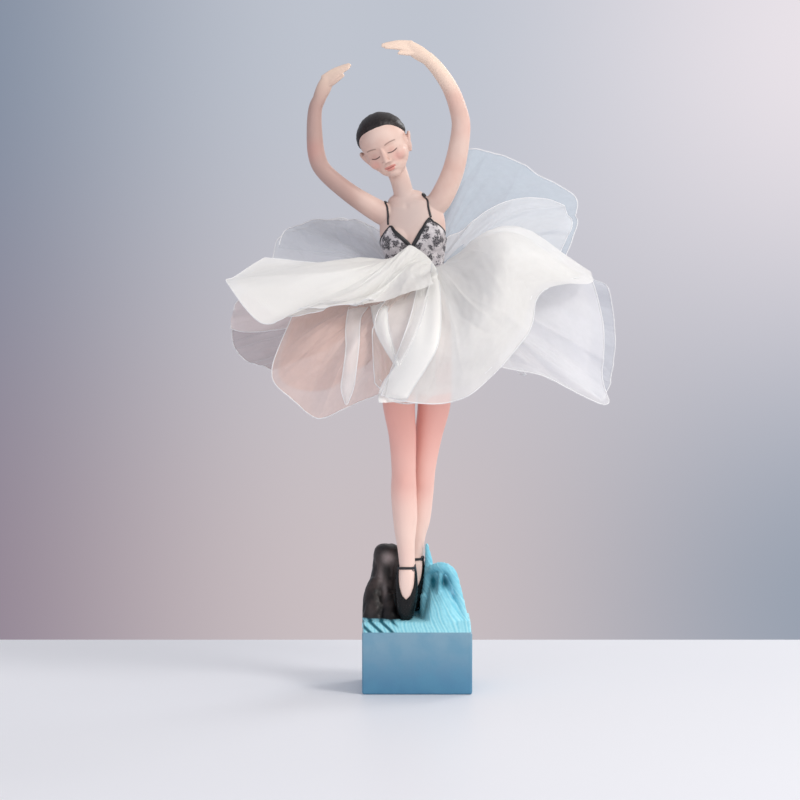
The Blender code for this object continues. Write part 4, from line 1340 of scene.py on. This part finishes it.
def lobe_grid(name, columns, rows, ply):
    """Corners of one ply of a lobe, in mm: rows run from the waist to the rim."""
    _, _, gather, fold, crease, seed, _ = FINISH[name]
    draw = np.random.default_rng(100 * seed + ply)
    middles, rims = (
        [polar(a, reach, reach, rise) for a, reach, rise in line] for line in zip(*LOBES[name][1:])
    )
    trim = 0.03 * ply
    shares = [trim + (1 - 2 * trim) * j / columns for j in range(columns + 1)]
    start, middle, end = (
        np.array([between(line, s) for s in shares]) for line in (root_knots(name), middles, rims)
    )
    v = np.array(shares)[None, :] + np.zeros((rows + 1, 1))
    u = np.linspace(0, 1, rows + 1)[:, None] + 0 * v
    if ply:
        reach = INNER_REACH.get(name, INNER_PLY)
        u = u * np.array([between(reach, share) for share in shares])[None, :]
    near = np.clip(2 * u, 0, 1)[:, :, None]
    far = np.clip(2 * u - 1, 0, 1)[:, :, None]
    inner_half = catmull_rom(2 * start - middle, start, middle, end, near)
    outer_half = catmull_rom(start, middle, end, 2 * end - middle, far)
    grid = np.where(u[:, :, None] < 0.5, inner_half, outer_half)
    normal = np.cross(np.gradient(grid, axis=1), np.gradient(grid, axis=0))
    normal /= np.maximum(np.linalg.norm(normal, axis=2, keepdims=True), 1e-9)
    width, root_width = run_length(grid[-1]), run_length(grid[0])
    length = run_length(grid[:, columns // 2])
    pleats = v * root_width / PLEAT_WIDTH + 0.35 * wander(u, v, draw, 0.8, 1.5)
    lift = gather * np.sin(math.tau * pleats) * ease(0, 0.08, u) * ease(0.62, 0.15, u)
    for share, along, across, low, high in WRINKLES:
        lift += share * fold * wander(u, v, draw, along, across) * ease(low, high, u)
    lift += crease * creases(u, v, width, length, draw) * ease(0.02, 0.25, u)
    lift += ply * PLY_GAP * INNER_SIDE.get(name, 1.0) * ease(0.0, 0.4, u)
    return grid + normal * lift[:, :, None], width, length


def sewn_grid(bm, own, points, cut, slot):
    """A sheet through rows of mm places, with its UV in mm of the cut; returns its area."""
    rows, columns = points.shape[0] - 1, points.shape[1] - 1
    known = set(bm.faces)
    corners = shaped_grid(
        bm, columns, rows, lambda u, v: Vector(points[round(v * rows), round(u * columns)]) * MM
    )
    for k, corner in enumerate(corners):
        for loop in corner.link_loops:
            row, column = divmod(k, columns + 1)
            loop[own].uv = (column / columns * cut[0], row / rows * cut[1])
    cloth = [face for face in bm.faces if face not in known]
    for face in cloth:
        face.material_index = slot
    return sum(face.calc_area() for face in cloth)


def hem_tube(bm, path, size):
    """A rolled hem of round section along a path of mm places."""
    path = [Vector(place) for place in path]
    count = len(path) - 1
    frames = []
    aside = (path[1] - path[0]).orthogonal().normalized()
    for k, middle in enumerate(path):
        along = (path[min(k + 1, count)] - path[max(k - 1, 0)]).normalized()
        aside = (aside - along * aside.dot(along)).normalized()
        frames.append((middle, aside.copy(), along.cross(aside), 0.0 if k in (0, count) else size))

    def place(u, v):
        middle, aside, over, half = frames[round(v * count)]
        angle = math.tau * u
        return (middle + (aside * math.cos(angle) + over * math.sin(angle)) * half) * MM

    known = set(bm.faces)
    shaped_tube(bm, 6, count, place)
    for face in bm.faces:
        if face not in known:
            face.material_index = 1


# %% [markdown]
# ## Organza
# Organza is a stiff, sheer weave: one ply is a veil, two plies and every fold read
# whiter. So each sheet is a single wall with an even Alpha, and the depth comes from
# the plies, folds and hems that lie behind one another.

# %% Organza finish
HEM = 0.28
THREADS = 11.4
# Painted light: an even glow on the front bands and flute, for light through the cloth
GLOW = 0.09


def organza(name, density, tint, through=0.0):
    """Sheer cloth; through is an even glow of its own, painted light in place of light from behind.
    """
    sheen = {"Sheen_Weight": 0.4, "Sheen_Roughness": 0.4, "Specular_IOR_Level": 0.25}
    paint = Paint(name, 0.55, Emission_Strength=through, **sheen)
    own = paint.node("UVMap").outputs[0]
    u, v, _ = paint.parts(own)
    warp, weft = (paint.sum("SINE", paint.times(way, THREADS)) for way in (u, v))
    slub = paint.cloud(own, 0.09, 4, 0.6)
    shade = (*(0.93 * channel for channel in linear(tint)), 1.0)
    # The tint holds painted light and shade as well as the white of the cloth
    paint.colour = paint.mix(paint.ramp(slub, 0.3, 0.7), tint, shade)
    paint.bump(paint.sum("MULTIPLY_ADD", slub, 2.0, paint.times(warp, weft)), 0.00008, 0.5)
    alpha = paint.ramp(slub, 0.25, 0.75, density - 0.05, density + 0.05)
    paint.put(alpha, paint.shader.inputs["Alpha"])
    return paint.finish()


paint = Paint("organza hem", 0.45, Alpha=0.72)
thread = paint.cloud(paint.place(), 1.5, 3)
paint.bump(thread, 0.0001, 0.5)
paint.colour = paint.mix(thread, "FFFFFF", "F0F1F3")
hem_paint = paint.finish()

# %% Cutting and hanging the lobes
# Two folded bands, a veil between them and a flute hang in front of the centre: their left
# and right edges as (x, z)
FRONT_FOLDS = {
    "veil_between": (
        (
            (-14.8, 176.5), (-14.5, 173.4), (-14.2, 169.1), (-13.2, 163.3), (-11.6, 157.4),
            (-9.9, 152.7), (-8.6, 149.0),
        ),
        (
            (5.6, 183.0), (4.6, 178.6), (3.4, 174.0), (1.4, 168.0), (-1.6, 160.0),
            (-4.4, 154.4), (-6.9, 149.4),
        ),
    ),
    "band_on_right": (
        (
            (6.3, 193.9), (5.8, 186.0), (3.7, 178.6), (0.6, 168.6), (-3.3, 158.5),
            (-9.9, 148.4), (-14.7, 141.9), (-16.9, 136.2), (-16.9, 132.8),
        ),
        (
            (8.5, 191.3), (9.8, 184.3), (10.2, 175.1), (9.8, 164.2), (8.0, 156.3),
            (3.7, 148.4), (-0.7, 141.4), (-3.8, 136.2), (-5.5, 132.8),
        ),
    ),
    "band_on_left": (
        (
            (-21.6, 175.8), (-20.5, 173.2), (-19.7, 169.1), (-18.2, 163.3), (-15.2, 157.4),
            (-12.3, 152.7), (-9.4, 148.2),
        ),
        (
            (-13.8, 176.0), (-13.4, 173.6), (-13.1, 169.1), (-12.1, 163.3), (-10.5, 157.4),
            (-8.8, 152.7), (-7.4, 149.4),
        ),
    ),
    "flute": (
        (
            (-30.0, 174.8), (-30.9, 171.6), (-31.7, 164.2), (-31.4, 155.4), (-32.6, 145.8),
            (-33.5, 138.3), (-31.6, 131.0),
        ),
        (
            (-21.4, 175.0), (-22.8, 172.8), (-25.2, 168.6), (-25.7, 157.6), (-26.9, 146.7),
            (-28.2, 138.3), (-31.0, 131.0),
        ),
    ),
}
FOLD_BULGE = 1.6
FOLD_LIFT = 0.8
FOLD_TUCK = 2.5
FOLD_CUT = (20, 60)


def add_ply(bm, own, name, ply, columns=150, rows=60):
    """One ply with its rolled hem; returns its cloth area, rim and length in mm."""
    grid, width, length = lobe_grid(name, columns, rows, ply)
    second = ply and name in INNER_FINISH and name != "tutu_centre"
    area = sewn_grid(bm, own, grid, (width, length), 2 if second else 0)
    first, last = HEMMED.get(name, (0.0, 1.0)) if ply == 0 else (0.02, 0.98)
    path = list(grid[-1, round(first * columns) : round(last * columns) + 1])
    if first == 0:
        path = [*grid[4:-1, 0], *path]
    if last == 1:
        path += [*grid[-2:3:-1, -1]]
    hem_tube(bm, path, HEM if ply == 0 else 0.8 * HEM)
    return area, width, length


def add_fold(bm, own, edges, cloth_trees, slot, rows=70, columns=16):
    """A soft arched fold between two edges, lying just in front of the lobes."""
    left, right = ([Vector((x, 0, z)) for x, z in edge] for edge in edges)
    points = np.zeros((rows + 1, columns + 1, 3))
    for k in range(rows + 1):
        one, two = between(left, k / rows), between(right, k / rows)
        for j in range(columns + 1):
            x, _, z = one.lerp(two, j / columns)
            start, aim = Vector((x, -150, z)) * MM, Vector((0, 1, 0))
            hits = [tree.ray_cast(start, aim)[0] for tree in cloth_trees]
            points[k, j] = (x, min((hit.y / MM for hit in hits if hit), default=np.nan), z)
    depth = points[:, :, 1]
    depth[np.isnan(depth)] = np.nanmedian(depth)
    for _ in range(12):
        padded = np.pad(depth, 1, mode="edge")
        rows_beside = padded[:-2, 1:-1] + padded[2:, 1:-1]
        depth = (rows_beside + padded[1:-1, :-2] + padded[1:-1, 2:] + padded[1:-1, 1:-1]) / 5
    arch = np.sin(np.pi * np.linspace(0, 1, columns + 1)) ** 0.7
    swelling = np.clip(np.linspace(0, 6, rows + 1), 0, 1)[:, None]
    lift = (FOLD_LIFT + FOLD_BULGE * arch[None, :]) * swelling
    points[:, :, 1] = depth + FOLD_TUCK * (1 - swelling) - lift
    area = sewn_grid(bm, own, points, FOLD_CUT, slot)
    for side in (0, -1):
        hem_tube(bm, points[:, side], HEM)
    return area


def organza_lobe(name, cloth_tree=None):
    """One lobe: single-walled plies of organza with rolled hems."""
    density, plies = FINISH[name][:2]
    bm = bmesh.new()
    own = bm.loops.layers.uv.new("UVMap")
    sewn = [add_ply(bm, own, name, ply) for ply in range(plies)]
    _, width, length = sewn[0]
    area = sum(ply_area for ply_area, _, _ in sewn)
    if cloth_tree:
        trees = (cloth_tree, BVHTree.FromBMesh(bm))
        for fold_name, edges in FRONT_FOLDS.items():
            area += add_fold(bm, own, edges, trees, 2 if fold_name.startswith("band") else 3)
    mesh = bpy.data.meshes.new(name + "_organza")
    bm.to_mesh(mesh)
    bm.free()
    mesh.materials.append(organza(name + " organza", density, FINISH[name][-1]))
    mesh.materials.append(hem_paint)
    # Only the centre's bands and flute get the painted glow
    glow = GLOW if cloth_tree else 0.0
    if name in INNER_FINISH:
        mesh.materials.append(organza(name + " inner organza", *INNER_FINISH[name], through=glow))
    if cloth_tree:
        mesh.materials.append(organza("sheer flute", 0.5, "FFFDFB", through=glow))
    lobe = bpy.data.objects.new(name + "_organza", mesh)
    scene.collection.objects.link(lobe)
    lobe.data.shade_smooth()
    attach(lobe, "root")
    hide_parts(name)
    cut_width = max(plies * width * MM, 1.03 * area / (length * MM))
    cut = f"{1000 * cut_width:.0f} by {length:.0f} mm, {1e6 * area:.0f} mm2 of cloth"
    print(f"{name}: {plies} plies, cut {cut}")
    return lobe


lobes = [organza_lobe(name) for name in LOBES if name != "tutu_centre"]
bm = bmesh.new()
for lobe in lobes:
    if lobe.name.startswith(("tutu_left_puff", "tutu_right_puff")):
        bm.from_mesh(lobe.data)
front_cloth = BVHTree.FromBMesh(bm)
bm.free()
organza_lobe("tutu_centre", front_cloth)
